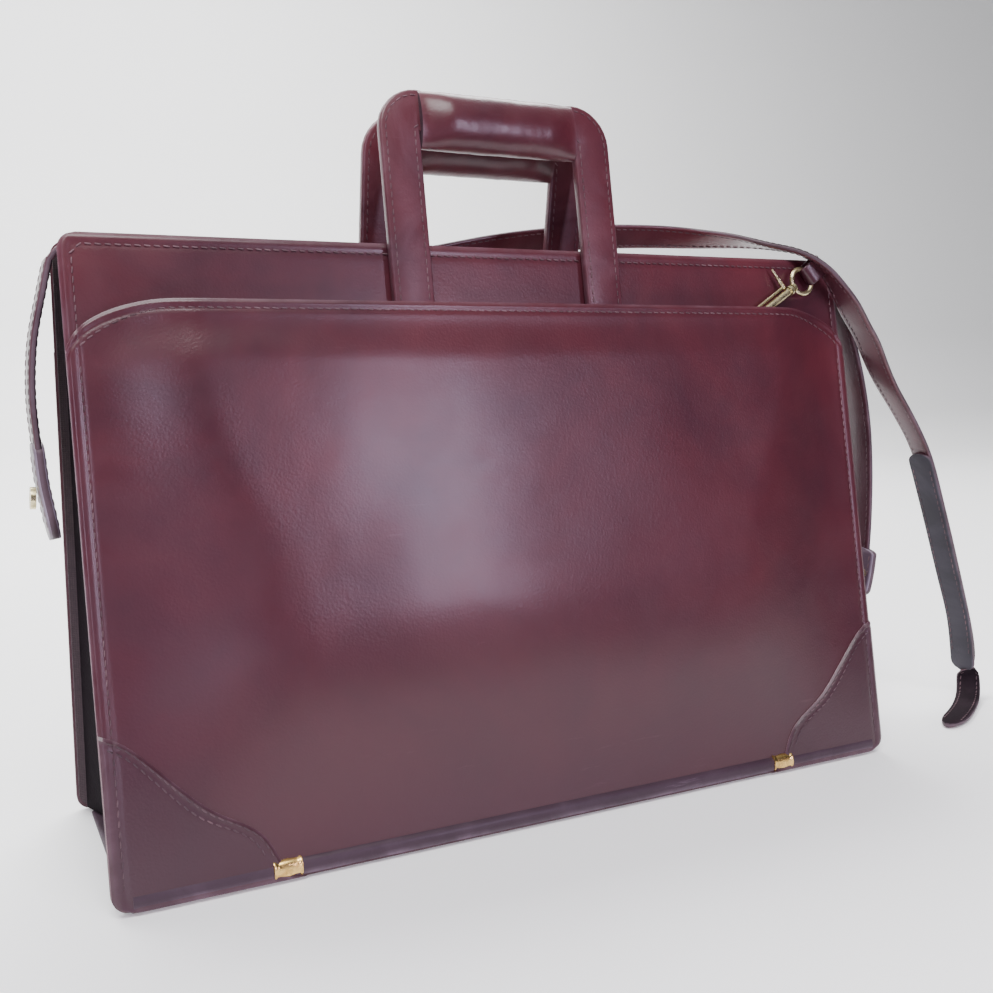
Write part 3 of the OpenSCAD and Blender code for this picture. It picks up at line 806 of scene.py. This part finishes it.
def dress(node, material, soft=0.0):
    """Gives a CAD node its finish, and eases its edges by soft."""
    piece = frame["nodes"][node]
    piece.data.materials.clear()
    piece.data.materials.append(material)
    if soft:
        bevel = piece.modifiers.new("soft_edges", "BEVEL")
        bevel.width = soft
        bevel.segments = 2
        bevel.limit_method = "ANGLE"
        bevel.angle_limit = math.radians(35.0)
        bevel.harden_normals = True


for side in ("front", "back"):
    make_handle(side)
    for part in ("handle_guide", "handle_stop"):
        dress(f"{side}_{part}", wine_trim, 0.0005)

# ---------------------------------------------------------------------------
# Side gussets: one folded sheet of soft hide at each end, sewn between the
# faces.
# ---------------------------------------------------------------------------
inner_hide = leather("inner_hide", (0.014, 0.008, 0.011), (0.008, 0.005, 0.007), rub=(0.06, 0.04, 0.05),
                     gloss=0.75, coat=0.0, bump=0.4, shine=0.06)
GUSSET_THICK = 0.0013


def make_gusset(name, sign):
    low, high = (Vector(corner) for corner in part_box(name))
    outer_x = high.x if sign > 0 else -low.x
    deep = (high.x - low.x) - 0.002
    outer, inner = [], []
    for tz in np.linspace(0.0, 1.0, 60):
        z = low.z + 0.0005 + (high.z - low.z - 0.001) * tz
        reach = on_face(0.0, (z - FOOT.z) / SLOPE.z, -0.0052, "back").y
        fold = deep * (1 - 0.7 * tz)
        outer_row, inner_row = [], []
        for ty in np.linspace(-1.0, 1.0, 49):
            crease = 1 - math.sqrt(ty * ty + 0.004)
            slump = 0.0016 * noise.noise(Vector((ty * 2.2, tz * 5.0, 2.0 + sign)))
            ripple = 0.0009 * math.sin(tz * 41.0 + ty * 2.0) * (1 - abs(ty))
            ripple *= noise.noise(Vector((ty, tz * 6, 9.0)))
            x = outer_x - 0.0006 - fold * crease + (slump + ripple) * (1 - abs(ty))
            outer_row.append(Vector((sign * x, ty * reach, z)))
            inner_row.append(Vector((sign * (x - GUSSET_THICK), ty * reach, z)))
        outer.append(outer_row)
        inner.append(inner_row)
    piece = grid_shell(name + "_fold", outer, inner, [inner_hide, inner_hide])
    bend = (on_face(0.0, 0.150, -0.034, "front"), on_face(0.0, 0.150, -0.006, "front"))
    finish_piece(piece, bend, "leather_inner", name)


make_gusset("left_gusset", -1)
make_gusset("right_gusset", 1)

# ---------------------------------------------------------------------------
# Base: a board covered with scuffed hide, which lies between the two faces and
# takes the weight of the papers. A row of stitches runs along each long edge.
# ---------------------------------------------------------------------------


def make_base():
    low, high = (Vector(corner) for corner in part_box("base_panel"))
    size = high - low
    levels = ((low.z, 0.0009), (low.z + 0.0003, 0.0002), (high.z - 0.0006, 0.0), (high.z, 0.0008))
    rings = []
    for z, inset in levels:
        outline = rounded_profile(size.x - 2 * inset, size.y - 2 * inset, 0.004 - inset, 6)
        rings.append([Vector((x, y, z)) for x, y in outline])
    piece = loft("base_leather", rings, [bottom_hide], rubs=[[0.5] * len(rings[0])] * len(rings))
    finish_piece(piece, "case", "leather_dark", "base_panel")
    reach_x, reach_y = size.x / 2 - 0.006, size.y / 2 - 0.006
    lines = []
    for y in (-reach_y, reach_y):
        route = [Vector((x, y, high.z)) for x in np.linspace(-reach_x, reach_x, 60)]
        lines.append(stitch_line(route, lambda spot: Vector((0, 0, 1))))
    stitches("base_stitches", lines, thread, "case")


make_base()

# ---------------------------------------------------------------------------
# Cloth and board inside: each face is stiffened with fibre board and lined with
# dark twill. A slip pocket of the same twill is sewn to the back lining.
# ---------------------------------------------------------------------------


def weave_group():
    group = bpy.data.node_groups.new("twill", "ShaderNodeTree")
    group.interface.new_socket("Threads", in_out="INPUT", socket_type="NodeSocketFloat")
    for name in ("Height", "Fleck"):
        group.interface.new_socket(name, in_out="OUTPUT", socket_type="NodeSocketFloat")
    into = add_node(group, "NodeGroupInput")
    out = add_node(group, "NodeGroupOutput")
    where = add_node(group, "ShaderNodeTexCoord").outputs["Object"]
    waves = []
    for direction in ("X", "Z"):
        wave = add_node(group, "ShaderNodeTexWave", wave_type="BANDS", bands_direction=direction)
        wave.inputs["Distortion"].default_value = 0.6
        plug(group, where, wave.inputs["Vector"])
        plug(group, into.outputs["Threads"], wave.inputs["Scale"])
        waves.append(wave.outputs["Fac"])
    fleck = noise_node(group, where, 900.0, 3.0)
    plug(group, math_node(group, "MAXIMUM", waves[0], waves[1]), out.inputs["Height"])
    plug(group, fleck.outputs["Fac"], out.inputs["Fleck"])
    return group


TWILL = weave_group()


def cloth(name, color, light, threads=330.0, rough=0.85):
    """Woven or pressed fibre, with lighter flecks where a thread comes up."""
    material = bpy.data.materials.new(name)
    material.use_nodes = True
    tree = material.node_tree
    shader = tree.nodes["Principled BSDF"]
    weave = add_node(tree, "ShaderNodeGroup", node_tree=TWILL)
    weave.inputs["Threads"].default_value = threads
    shade = math_node(tree, "MULTIPLY", weave.outputs["Height"], weave.outputs["Fleck"])
    plug(tree, mix_color(tree, shade, color, light), shader.inputs["Base Color"])
    shader.inputs["Roughness"].default_value = rough
    shader.inputs["Sheen Weight"].default_value = 0.25
    relief = add_node(tree, "ShaderNodeBump")
    relief.inputs["Strength"].default_value = 0.5
    relief.inputs["Distance"].default_value = 0.0003
    plug(tree, weave.outputs["Height"], relief.inputs["Height"])
    plug(tree, relief.outputs["Normal"], shader.inputs["Normal"])
    return material


lining_cloth = cloth("lining_twill", (0.030, 0.018, 0.022), (0.085, 0.050, 0.058))
board_fibre = cloth("fibre_board", (0.24, 0.17, 0.10), (0.36, 0.27, 0.17), threads=120.0, rough=0.9)


for node in ("front_lining", "back_lining", "inner_pocket"):
    dress(node, lining_cloth)
for node in ("front_board", "back_board", "base_board"):
    dress(node, board_fibre)

# ---------------------------------------------------------------------------
# Zip: two woven tapes sewn under the facings of the two top edges, with brass
# teeth and end stops. A brass slider with a hanging pull runs along the teeth.
# ---------------------------------------------------------------------------
tape_cloth = cloth("zip_tape_weave", (0.020, 0.010, 0.013), (0.060, 0.034, 0.040), threads=520.0)
FACING_FROM = 0.0065
FACING_WIDE = 0.0078
FACING_RISE = 0.0015
FACING_SEAM = 0.0088


def make_tape(side):
    node = side + "_zip_tape"
    low, high = (Vector(corner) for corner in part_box(node))
    outer, inner = [], []
    for ty in np.linspace(0.0, 1.0, 9):
        y = low.y + (high.y - low.y) * ty
        cord_swell = 0.0004 * math.exp(-((abs(y) - 0.0030) / 0.0006) ** 2)
        outer_row, inner_row = [], []
        for x in np.linspace(low.x, high.x, 200):
            sag = 0.0002 * noise.noise(Vector((x * 30, y * 60, 1.0)))
            outer_row.append(Vector((x, y, high.z - 0.0003 + cord_swell + sag)))
            inner_row.append(Vector((x, y, low.z + 0.0003 + sag)))
        outer.append(outer_row)
        inner.append(inner_row)
    piece = grid_shell(side + "_zip_tape_cloth", outer, inner, [tape_cloth, tape_cloth])
    finish_piece(piece, BODY_OF[side], "zip_tape", node)
    flip = 1.0 if side == "back" else -1.0
    strip_outer, strip_inner = [], []
    for ty in np.linspace(0.0, 1.0, 10):
        y = flip * (FACING_FROM + FACING_WIDE * ty)
        under = high.z + 0.0002 + FACING_RISE * ty
        over = high.z + 0.0014 + 0.0006 * math.sin(math.pi * ty) + FACING_RISE * ty
        strip_outer.append([Vector((x, y, over)) for x in np.linspace(low.x, high.x, 120)])
        strip_inner.append([Vector((x, y, under)) for x in np.linspace(low.x, high.x, 120)])
    strip = grid_shell(side + "_zip_facing", strip_outer, strip_inner, [wine_trim, dark_edge])
    finish_piece(strip, BODY_OF[side], "leather_dark")
    route = [Vector((x, flip * FACING_SEAM, high.z + 0.0021)) for x in np.linspace(low.x, high.x, 80)]
    seam = stitch_line(route, lambda spot: Vector((0, 0, 1)))
    stitches(side + "_zip_facing_stitches", [seam], thread, BODY_OF[side])


for side in ("front", "back"):
    make_tape(side)
for node in ("front_zip_teeth", "back_zip_teeth", "zip_end_stops"):
    dress(node, gold_brass)
for node in ("zip_slider", "zip_pull"):
    dress(node, gold_brass, 0.0003)

# ---------------------------------------------------------------------------
# Zip tails: a stitched hide strip at each end of the zip hangs down outside its
# gusset from a short fold of hide over the tape's end. It ends in a mauve tab
# with pale brass snaps, and swings on its own.
# ---------------------------------------------------------------------------


def spread(route, count):
    """Smooth curve of count places past a route of points, which all have as many parts."""
    places = [Vector(p) for p in route]
    steps = [0.0]
    for a, b in zip(places, places[1:]):
        steps.append(steps[-1] + max((Vector(b[:3]) - Vector(a[:3])).length, 1e-6))
    result = []
    for i in range(count):
        target = steps[-1] * i / (count - 1)
        k = 0
        while k < len(places) - 2 and steps[k + 1] < target:
            k += 1
        t = (target - steps[k]) / (steps[k + 1] - steps[k])
        result.append(curve_point(places, k, t))
    for _ in range(count // 24):
        inner = [[(p + 2 * q + r) / 4 for p, q, r in zip(a, b, c)]
                 for a, b, c in zip(result, result[1:], result[2:])]
        result = [result[0], *inner, result[-1]]
    return result


def flat_strap(name, route, count, wide, thick, materials, taper=(0.0, 0.0), wave=0.0):
    """Flat strap swept along (x, y, z, lean); lean turns its width up from level.

    The materials are for the outer face, the inner face and the edge, and taper is the
    length over which each end narrows to a round tip."""
    curve = spread(route, count)
    outline = rounded_profile(wide, thick, thick * 0.42, 3)
    rings, rubs, frames = [], [], []
    length = [0.0]
    for a, b in zip(curve, curve[1:]):
        length.append(length[-1] + (Vector(b[:3]) - Vector(a[:3])).length)
    level = (Vector(curve[2][:3]) - Vector(curve[0][:3])).cross(Vector((0, 0, 1))).normalized()
    for i, place in enumerate(curve):
        spot = Vector(place[:3])
        before, after = curve[max(i - 1, 0)], curve[min(i + 1, count - 1)]
        run = (Vector(after[:3]) - Vector(before[:3])).normalized()
        flat_run = run.cross(Vector((0, 0, 1)))
        if flat_run.length > 0.12:
            level = flat_run.normalized() if flat_run.dot(level) >= 0 else -flat_run.normalized()
        lean = math.radians(place[3])
        across = level * math.cos(lean) + level.cross(run) * math.sin(lean)
        thin = run.cross(across)
        frames.append((spot, across, thin))
        scale = 1.0
        for end, reach in ((length[i], taper[0]), (length[-1] - length[i], taper[1])):
            if reach and end < reach:
                scale = min(scale, math.sqrt(max(1.0 - (1.0 - end / reach) ** 2, 0.02)))
        shake = wave * noise.noise(spot * 22.0)
        ring, rub = [], []
        for w, t in outline:
            crown = 0.06 * thick * (1 - (2 * w / wide) ** 2) * (1 if t > 0 else -1)
            ring.append(spot + across * w * scale + thin * (t + crown + shake))
            rub.append(smooth_step((abs(w) - wide / 2 + 0.0016) / 0.0014))
        rings.append(ring)
        rubs.append(rub)
    marks = []
    for (_, low), (_, high) in zip(outline, outline[1:] + outline[:1]):
        middle = (low + high) / 2
        marks.append(0 if middle > thick * 0.3 else 1 if middle < -thick * 0.3 else 2)
    return loft(name, rings, materials, marks, rubs), frames


def nearest_out(outs):
    """Gives a place the outward direction of the strap where it is nearest."""
    return lambda place: min(outs, key=lambda out: (out[0] - place).length)[1]


def strap_seams(frames, wide, thick, inset, ends=2):
    """Stitch lines along both edges of a strap, on both of its faces."""
    lines = []
    for w in (-wide / 2 + inset, wide / 2 - inset):
        for face in (1, -1):
            route = [spot + across * w + thin * face * (thick / 2 + 0.0001)
                     for spot, across, thin in frames[ends:-ends]]
            outs = [(spot, thin * face) for spot, across, thin in frames]
            lines.append(stitch_line(route, nearest_out(outs)))
    return lines


tab_hide = leather("mauve_tab_hide", (0.115, 0.070, 0.100), (0.070, 0.040, 0.060), rub=(0.32, 0.26, 0.34),
                   gloss=0.42, coat=0.15)
pale_brass = brass("pale_brass", (0.72, 0.64, 0.38), (0.40, 0.34, 0.18), 0.26)
TAIL_WIDE = 0.024
TAIL_THICK = 0.0028
TAIL_SEAM = 0.0028
TAB_THICK = 0.0046
CAP_THICK = 0.0026
TAILS = {
    "left": {
        "strip": ((-0.2184, 0.276), (-0.222, 0.262), (-0.227, 0.240), (-0.229, 0.216), (-0.2278, 0.190)),
        "tab": ((-0.228, 0.1965), (-0.227, 0.180), (-0.225, 0.166), (-0.223, 0.153)), "tab_wide": 0.026,
        "nodes": ("left_zip_tail", "left_tail_tab")},
    "right": {
        "strip": ((0.2184, 0.274), (0.227, 0.266), (0.238, 0.247), (0.248, 0.220), (0.255, 0.190),
                  (0.258, 0.160), (0.2585, 0.130), (0.2573, 0.104)),
        "tab": ((0.2575, 0.110), (0.256, 0.098), (0.254, 0.088), (0.251, 0.078)), "tab_wide": 0.036,
        "nodes": ("right_zip_tail", "right_tail_tab")},
}


def make_tail(end):
    parts = TAILS[end]
    body = end + "_tail"
    outer = (wine_trim, inner_hide) if end == "right" else (inner_hide, wine_trim)
    strip = [(x, 0.0, z, 0.0) for x, z in parts["strip"]]
    piece, frames = flat_strap(end + "_tail_strip", strip, 70, TAIL_WIDE, TAIL_THICK, [*outer, dark_edge])
    finish_piece(piece, body, "leather_dark", parts["nodes"][0])
    stitches(end + "_tail_stitches", strap_seams(frames, TAIL_WIDE, TAIL_THICK, TAIL_SEAM), thread, body)
    tab = [(x, 0.0, z, 0.0) for x, z in parts["tab"]]
    wide = parts["tab_wide"]
    piece, frames = flat_strap(end + "_tail_end_tab", tab, 40, wide, TAB_THICK,
                               [tab_hide, tab_hide, dark_edge], taper=(0.004, 0.006))
    finish_piece(piece, body, "tab_leather", parts["nodes"][1])
    stitches(end + "_tab_stitches", strap_seams(frames, wide, TAB_THICK, TAIL_SEAM, 6), worn_thread, body)


def make_end_cap(end):
    """Short fold of hide over the end of the zip tape, from which the tail hangs."""
    sign = -1.0 if end == "left" else 1.0
    fold = ((0.2025, 0.2822), (0.2090, 0.2820), (0.2150, 0.2796), (0.2182, 0.2755))
    route = [(sign * x, 0.0, z, 0.0) for x, z in fold]
    piece, _ = flat_strap(end + "_zip_end_cap", route, 24, TAIL_WIDE, CAP_THICK,
                          [wine_trim, wine_trim, dark_edge])
    finish_piece(piece, (Vector((0.0, 0.002, 0.28)), Vector((0.0, -0.010, 0.28))), "leather_dark")


for end in ("left", "right"):
    make_tail(end)
    make_end_cap(end)
for node in ("left_tail_snap", "right_tail_snaps"):
    dress(node, pale_brass, 0.0005)

# ---------------------------------------------------------------------------
# Shoulder strap: one long strap of doubled hide from the rear hook, over the
# top and down past the right end to the front hook. It is clipped to the case
# at both halves.
# ---------------------------------------------------------------------------
STRAP_WIDE = 0.015
STRAP_DEEP = 0.0028
STRAP_ROUTE = (
    (-0.190, 0.026, 0.284, 20), (-0.184, 0.036, 0.287, 50), (-0.166, 0.044, 0.284, 70),
    (-0.130, 0.049, 0.276, 74), (-0.095, 0.050, 0.272, 74), (-0.055, 0.048, 0.279, 70),
    (-0.015, 0.046, 0.287, 66), (0.030, 0.044, 0.296, 62), (0.080, 0.043, 0.302, 60),
    (0.125, 0.041, 0.304, 55), (0.155, 0.034, 0.303, 40), (0.174, 0.014, 0.300, 20),
    (0.183, -0.012, 0.2936, 4), (0.189, -0.021, 0.291, 0), (0.197, -0.028, 0.284, 0),
    (0.205, -0.030, 0.275, 0), (0.214, -0.031, 0.264, 0), (0.230, -0.025, 0.250, 0),
    (0.239, -0.023, 0.242, 0), (0.248, -0.019, 0.233, 0), (0.264, -0.014, 0.215, 0),
    (0.284, -0.012, 0.193, 0),
    (0.301, -0.012, 0.168, 0), (0.316, -0.012, 0.130, 0), (0.331, -0.012, 0.089, 0),
    (0.345, -0.012, 0.048, 0), (0.350, -0.012, 0.024, 0), (0.351, -0.013, 0.012, 0),
    (0.346, -0.018, 0.0046, 0), (0.330, -0.030, 0.0023, 0), (0.305, -0.046, 0.0023, 0),
    (0.281, -0.058, 0.0023, 0))
# Two places on the strap, between the case and the front half.
STRAP_BEND = (Vector((0.06, 0.04, 0.30)), Vector((0.182, -0.012, 0.29)))


def make_shoulder_strap():
    piece, frames = flat_strap("shoulder_strap", STRAP_ROUTE, 300, STRAP_WIDE, STRAP_DEEP,
                               [burgundy, inner_hide, dark_edge], taper=(0.0, 0.022), wave=0.0002)
    finish_piece(piece, STRAP_BEND, "leather", "shoulder_strap_rear", "shoulder_strap_front")
    seams = strap_seams(frames, STRAP_WIDE, STRAP_DEEP, 0.0024, 4)
    stitches("shoulder_strap_stitches", seams, thread, STRAP_BEND)


make_shoulder_strap()

# ---------------------------------------------------------------------------
# Shoulder pad and keepers: a soft slate pad sewn along the strap's inner side,
# and a small hide loop that holds the strap in the eye of each hook.
# ---------------------------------------------------------------------------
pad_hide = leather("slate_pad_hide", (0.036, 0.034, 0.042), (0.024, 0.022, 0.028), rub=(0.10, 0.09, 0.11),
                   gloss=0.6, coat=0.0, bump=0.35, shine=0.18)
PAD_ROUTE = ((0.301, -0.012, 0.169, 0), (0.316, -0.012, 0.130, 0), (0.331, -0.012, 0.089, 0),
             (0.343, -0.012, 0.056, 0), (0.3485, -0.012, 0.028, 0), (0.3495, -0.012, 0.019, 0))
PAD_WIDE = 0.019
PAD_THICK = 0.0024
PAD_SHIFT = Vector((-0.0027, 0.0, -0.0009))


def make_pad():
    route = [(x + PAD_SHIFT.x, y, z + PAD_SHIFT.z, lean) for x, y, z, lean in PAD_ROUTE]
    piece, frames = flat_strap("shoulder_pad", route, 70, PAD_WIDE, PAD_THICK,
                               [pad_hide, pad_hide, dark_edge], taper=(0.006, 0.006))
    finish_piece(piece, "front_half", "pad_leather", "shoulder_strap_pad")
    seams = strap_seams(frames, PAD_WIDE, PAD_THICK, 0.0026, 6)
    stitches("shoulder_pad_stitches", seams, worn_thread, "front_half")


# Outline of the folded loop, along the strap and off it, from the hook's eye.
LOOP_SHAPE = ((-0.0026, 0.0), (-0.0020, 0.0024), (0.0010, 0.0034), (0.0050, 0.0040), (0.0080, 0.0042),
              (0.0105, 0.0032), (0.0115, 0.0010), (0.0105, -0.0018), (0.0080, -0.0028), (0.0050, -0.0032),
              (0.0010, -0.0030), (-0.0020, -0.0022))
LOOP_WIDE = 0.0115
LOOP_THICK = 0.0016


def make_keeper(end, turned):
    """Hide loop through the hook's eye; turned is for the hook at the back."""
    low, high = (Vector(corner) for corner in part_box(end + "_hook_eye"))
    ring = (low + high) / 2
    if turned:
        ring = Vector((-ring.x, -ring.y, ring.z))
    away = Vector((0.80, 0.0, 0.0)) + SLOPE * 0.60
    start = ring + away * 0.0062
    sideways = away.cross(OUTWARD).normalized()
    rings = []
    for k, (reach, lift) in enumerate(LOOP_SHAPE):
        before, after = LOOP_SHAPE[k - 1], LOOP_SHAPE[(k + 1) % len(LOOP_SHAPE)]
        run = (away * (after[0] - before[0]) + OUTWARD * (after[1] - before[1])).normalized()
        thin = run.cross(sideways)
        middle = start + away * reach + OUTWARD * lift
        rings.append([middle + sideways * w + thin * t
                      for w, t in rounded_profile(LOOP_WIDE, LOOP_THICK, 0.0006, 3)])
    if turned:
        rings = [[Vector((-p.x, -p.y, p.z)) for p in row] for row in rings]
    piece = loft(end + "_strap_loop", rings, [wine_trim], closed=True)
    smooth = piece.modifiers.new("round_fold", "SUBSURF")
    smooth.levels = 2
    smooth.render_levels = 2
    finish_piece(piece, "case" if turned else "front_half", "leather_dark", end + "_strap_keeper")


make_pad()
make_keeper("front", False)
make_keeper("rear", True)

# ---------------------------------------------------------------------------
# Snap hooks: pale aged brass castings, clipped to a brass staple on each face
# behind the pocket. The strap loops through the eye, on which the body swivels,
# and the gate presses inwards.
# ---------------------------------------------------------------------------
for end in ("front", "rear"):
    for part, ease in (("hook_eye", 0.0), ("hook_body", 0.0003), ("hook_gate", 0.0002)):
        dress(f"{end}_{part}", pale_brass, ease)
for side in ("front", "back"):
    dress(side + "_anchor_staple", pale_brass)

# ---------------------------------------------------------------------------
# Camera: stands in front of the case towards its left end, a little above its
# middle, and looks slightly down at it.
# ---------------------------------------------------------------------------
CAMERA_PLACE = Vector((-0.2644, -0.5306, 0.2239))
CAMERA_YAW = math.radians(26.4)
CAMERA_PITCH = math.radians(7.5)
CAMERA_ROLL = math.radians(-0.9)
camera_data = bpy.data.cameras.new("camera")
camera_data.sensor_width = 36.0
camera_data.lens = 40.17
camera_data.shift_y = 0.0225
camera_data.clip_start = 0.01
camera = bpy.data.objects.new("camera", camera_data)
bpy.context.scene.collection.objects.link(camera)
turn = Matrix.Rotation(-CAMERA_YAW, 4, "Z") @ Matrix.Rotation(math.pi / 2 - CAMERA_PITCH, 4, "X")
camera.matrix_world = Matrix.Translation(CAMERA_PLACE) @ turn @ Matrix.Rotation(CAMERA_ROLL, 4, "Z")
bpy.context.scene.camera = camera

# ---------------------------------------------------------------------------
# Table and light: a white sweep that starts just in front of the case, three
# cool windows in front, one light overhead and one on the wall behind, in a room
# that is dim in front and bright behind.
# ---------------------------------------------------------------------------


def make_floor():
    rings = []
    for y, z in ((-0.43, 0.0), (1.6, 0.0), (2.1, 0.08), (2.5, 0.35), (2.7, 0.9), (2.75, 3.0)):
        rings.append([Vector((-5.0, y, z)), Vector((5.0, y, z))])
    mesh = bpy.data.meshes.new("table")
    mesh.from_pydata([tuple(p) for ring in rings for p in ring], [],
                     [(2 * i, 2 * i + 1, 2 * i + 3, 2 * i + 2) for i in range(len(rings) - 1)])
    mesh.polygons.foreach_set("use_smooth", [True] * len(mesh.polygons))
    material = bpy.data.materials.new("white_table")
    material.use_nodes = True
    shader = material.node_tree.nodes["Principled BSDF"]
    shader.inputs["Base Color"].default_value = (0.92, 0.92, 0.92, 1.0)
    shader.inputs["Roughness"].default_value = 0.75
    shader.inputs["Emission Color"].default_value = (1.0, 1.0, 1.0, 1.0)
    shader.inputs["Emission Strength"].default_value = 0.22
    mesh.materials.append(material)
    floor = bpy.data.objects.new("table", mesh)
    bpy.context.scene.collection.objects.link(floor)


WINDOW_LIGHT = (0.84, 0.74, 1.0)


def softbox(name, place, target, width, height, power, color=(1.0, 1.0, 1.0)):
    data = bpy.data.lights.new(name, "AREA")
    data.color = color
    data.shape = "RECTANGLE"
    data.size = width
    data.size_y = height
    data.energy = power
    lamp = bpy.data.objects.new(name, data)
    lamp.location = place
    lamp.rotation_euler = (Vector(target) - Vector(place)).to_track_quat("-Z", "Y").to_euler()
    bpy.context.scene.collection.objects.link(lamp)


make_floor()
softbox("middle_window", (0.57, -1.50, 0.50), (0.0, 0.0, 0.15), 0.12, 0.60, 9.5, WINDOW_LIGHT)
softbox("side_window", (-0.72, -1.15, 0.45), (-0.2, 0.0, 0.15), 0.14, 0.45, 5.0, WINDOW_LIGHT)
softbox("low_window", (-0.34, -1.30, 0.07), (-0.1, 0.0, 0.10), 0.22, 0.12, 1.0, WINDOW_LIGHT)
softbox("overhead", (-0.35, -0.75, 1.60), (0.0, 0.0, 0.1), 1.0, 0.8, 34.0)
softbox("back_top", (0.0, 1.1, 1.9), (0.0, 1.6, 0.0), 2.4, 1.2, 120.0)


def surround():
    """Dim room in front of the case and bright walls behind it."""
    world = bpy.data.worlds.new("surround")
    world.use_nodes = True
    tree = world.node_tree
    split = add_node(tree, "ShaderNodeSeparateXYZ")
    plug(tree, add_node(tree, "ShaderNodeTexCoord").outputs["Generated"], split.inputs["Vector"])
    behind = remap(tree, split.outputs["Y"], 0.0, 0.5, 0.03, 0.6)
    above = remap(tree, split.outputs["Z"], 0.45, 0.95, 0.0, 0.4)
    background = tree.nodes["Background"]
    background.inputs["Color"].default_value = (0.90, 0.90, 1.0, 1.0)
    seen = math_node(tree, "MULTIPLY", add_node(tree, "ShaderNodeLightPath").outputs["Is Camera Ray"], 0.75)
    lit = math_node(tree, "ADD", behind, above)
    plug(tree, math_node(tree, "MAXIMUM", lit, seen), background.inputs["Strength"])
    bpy.context.scene.world = world


surround()
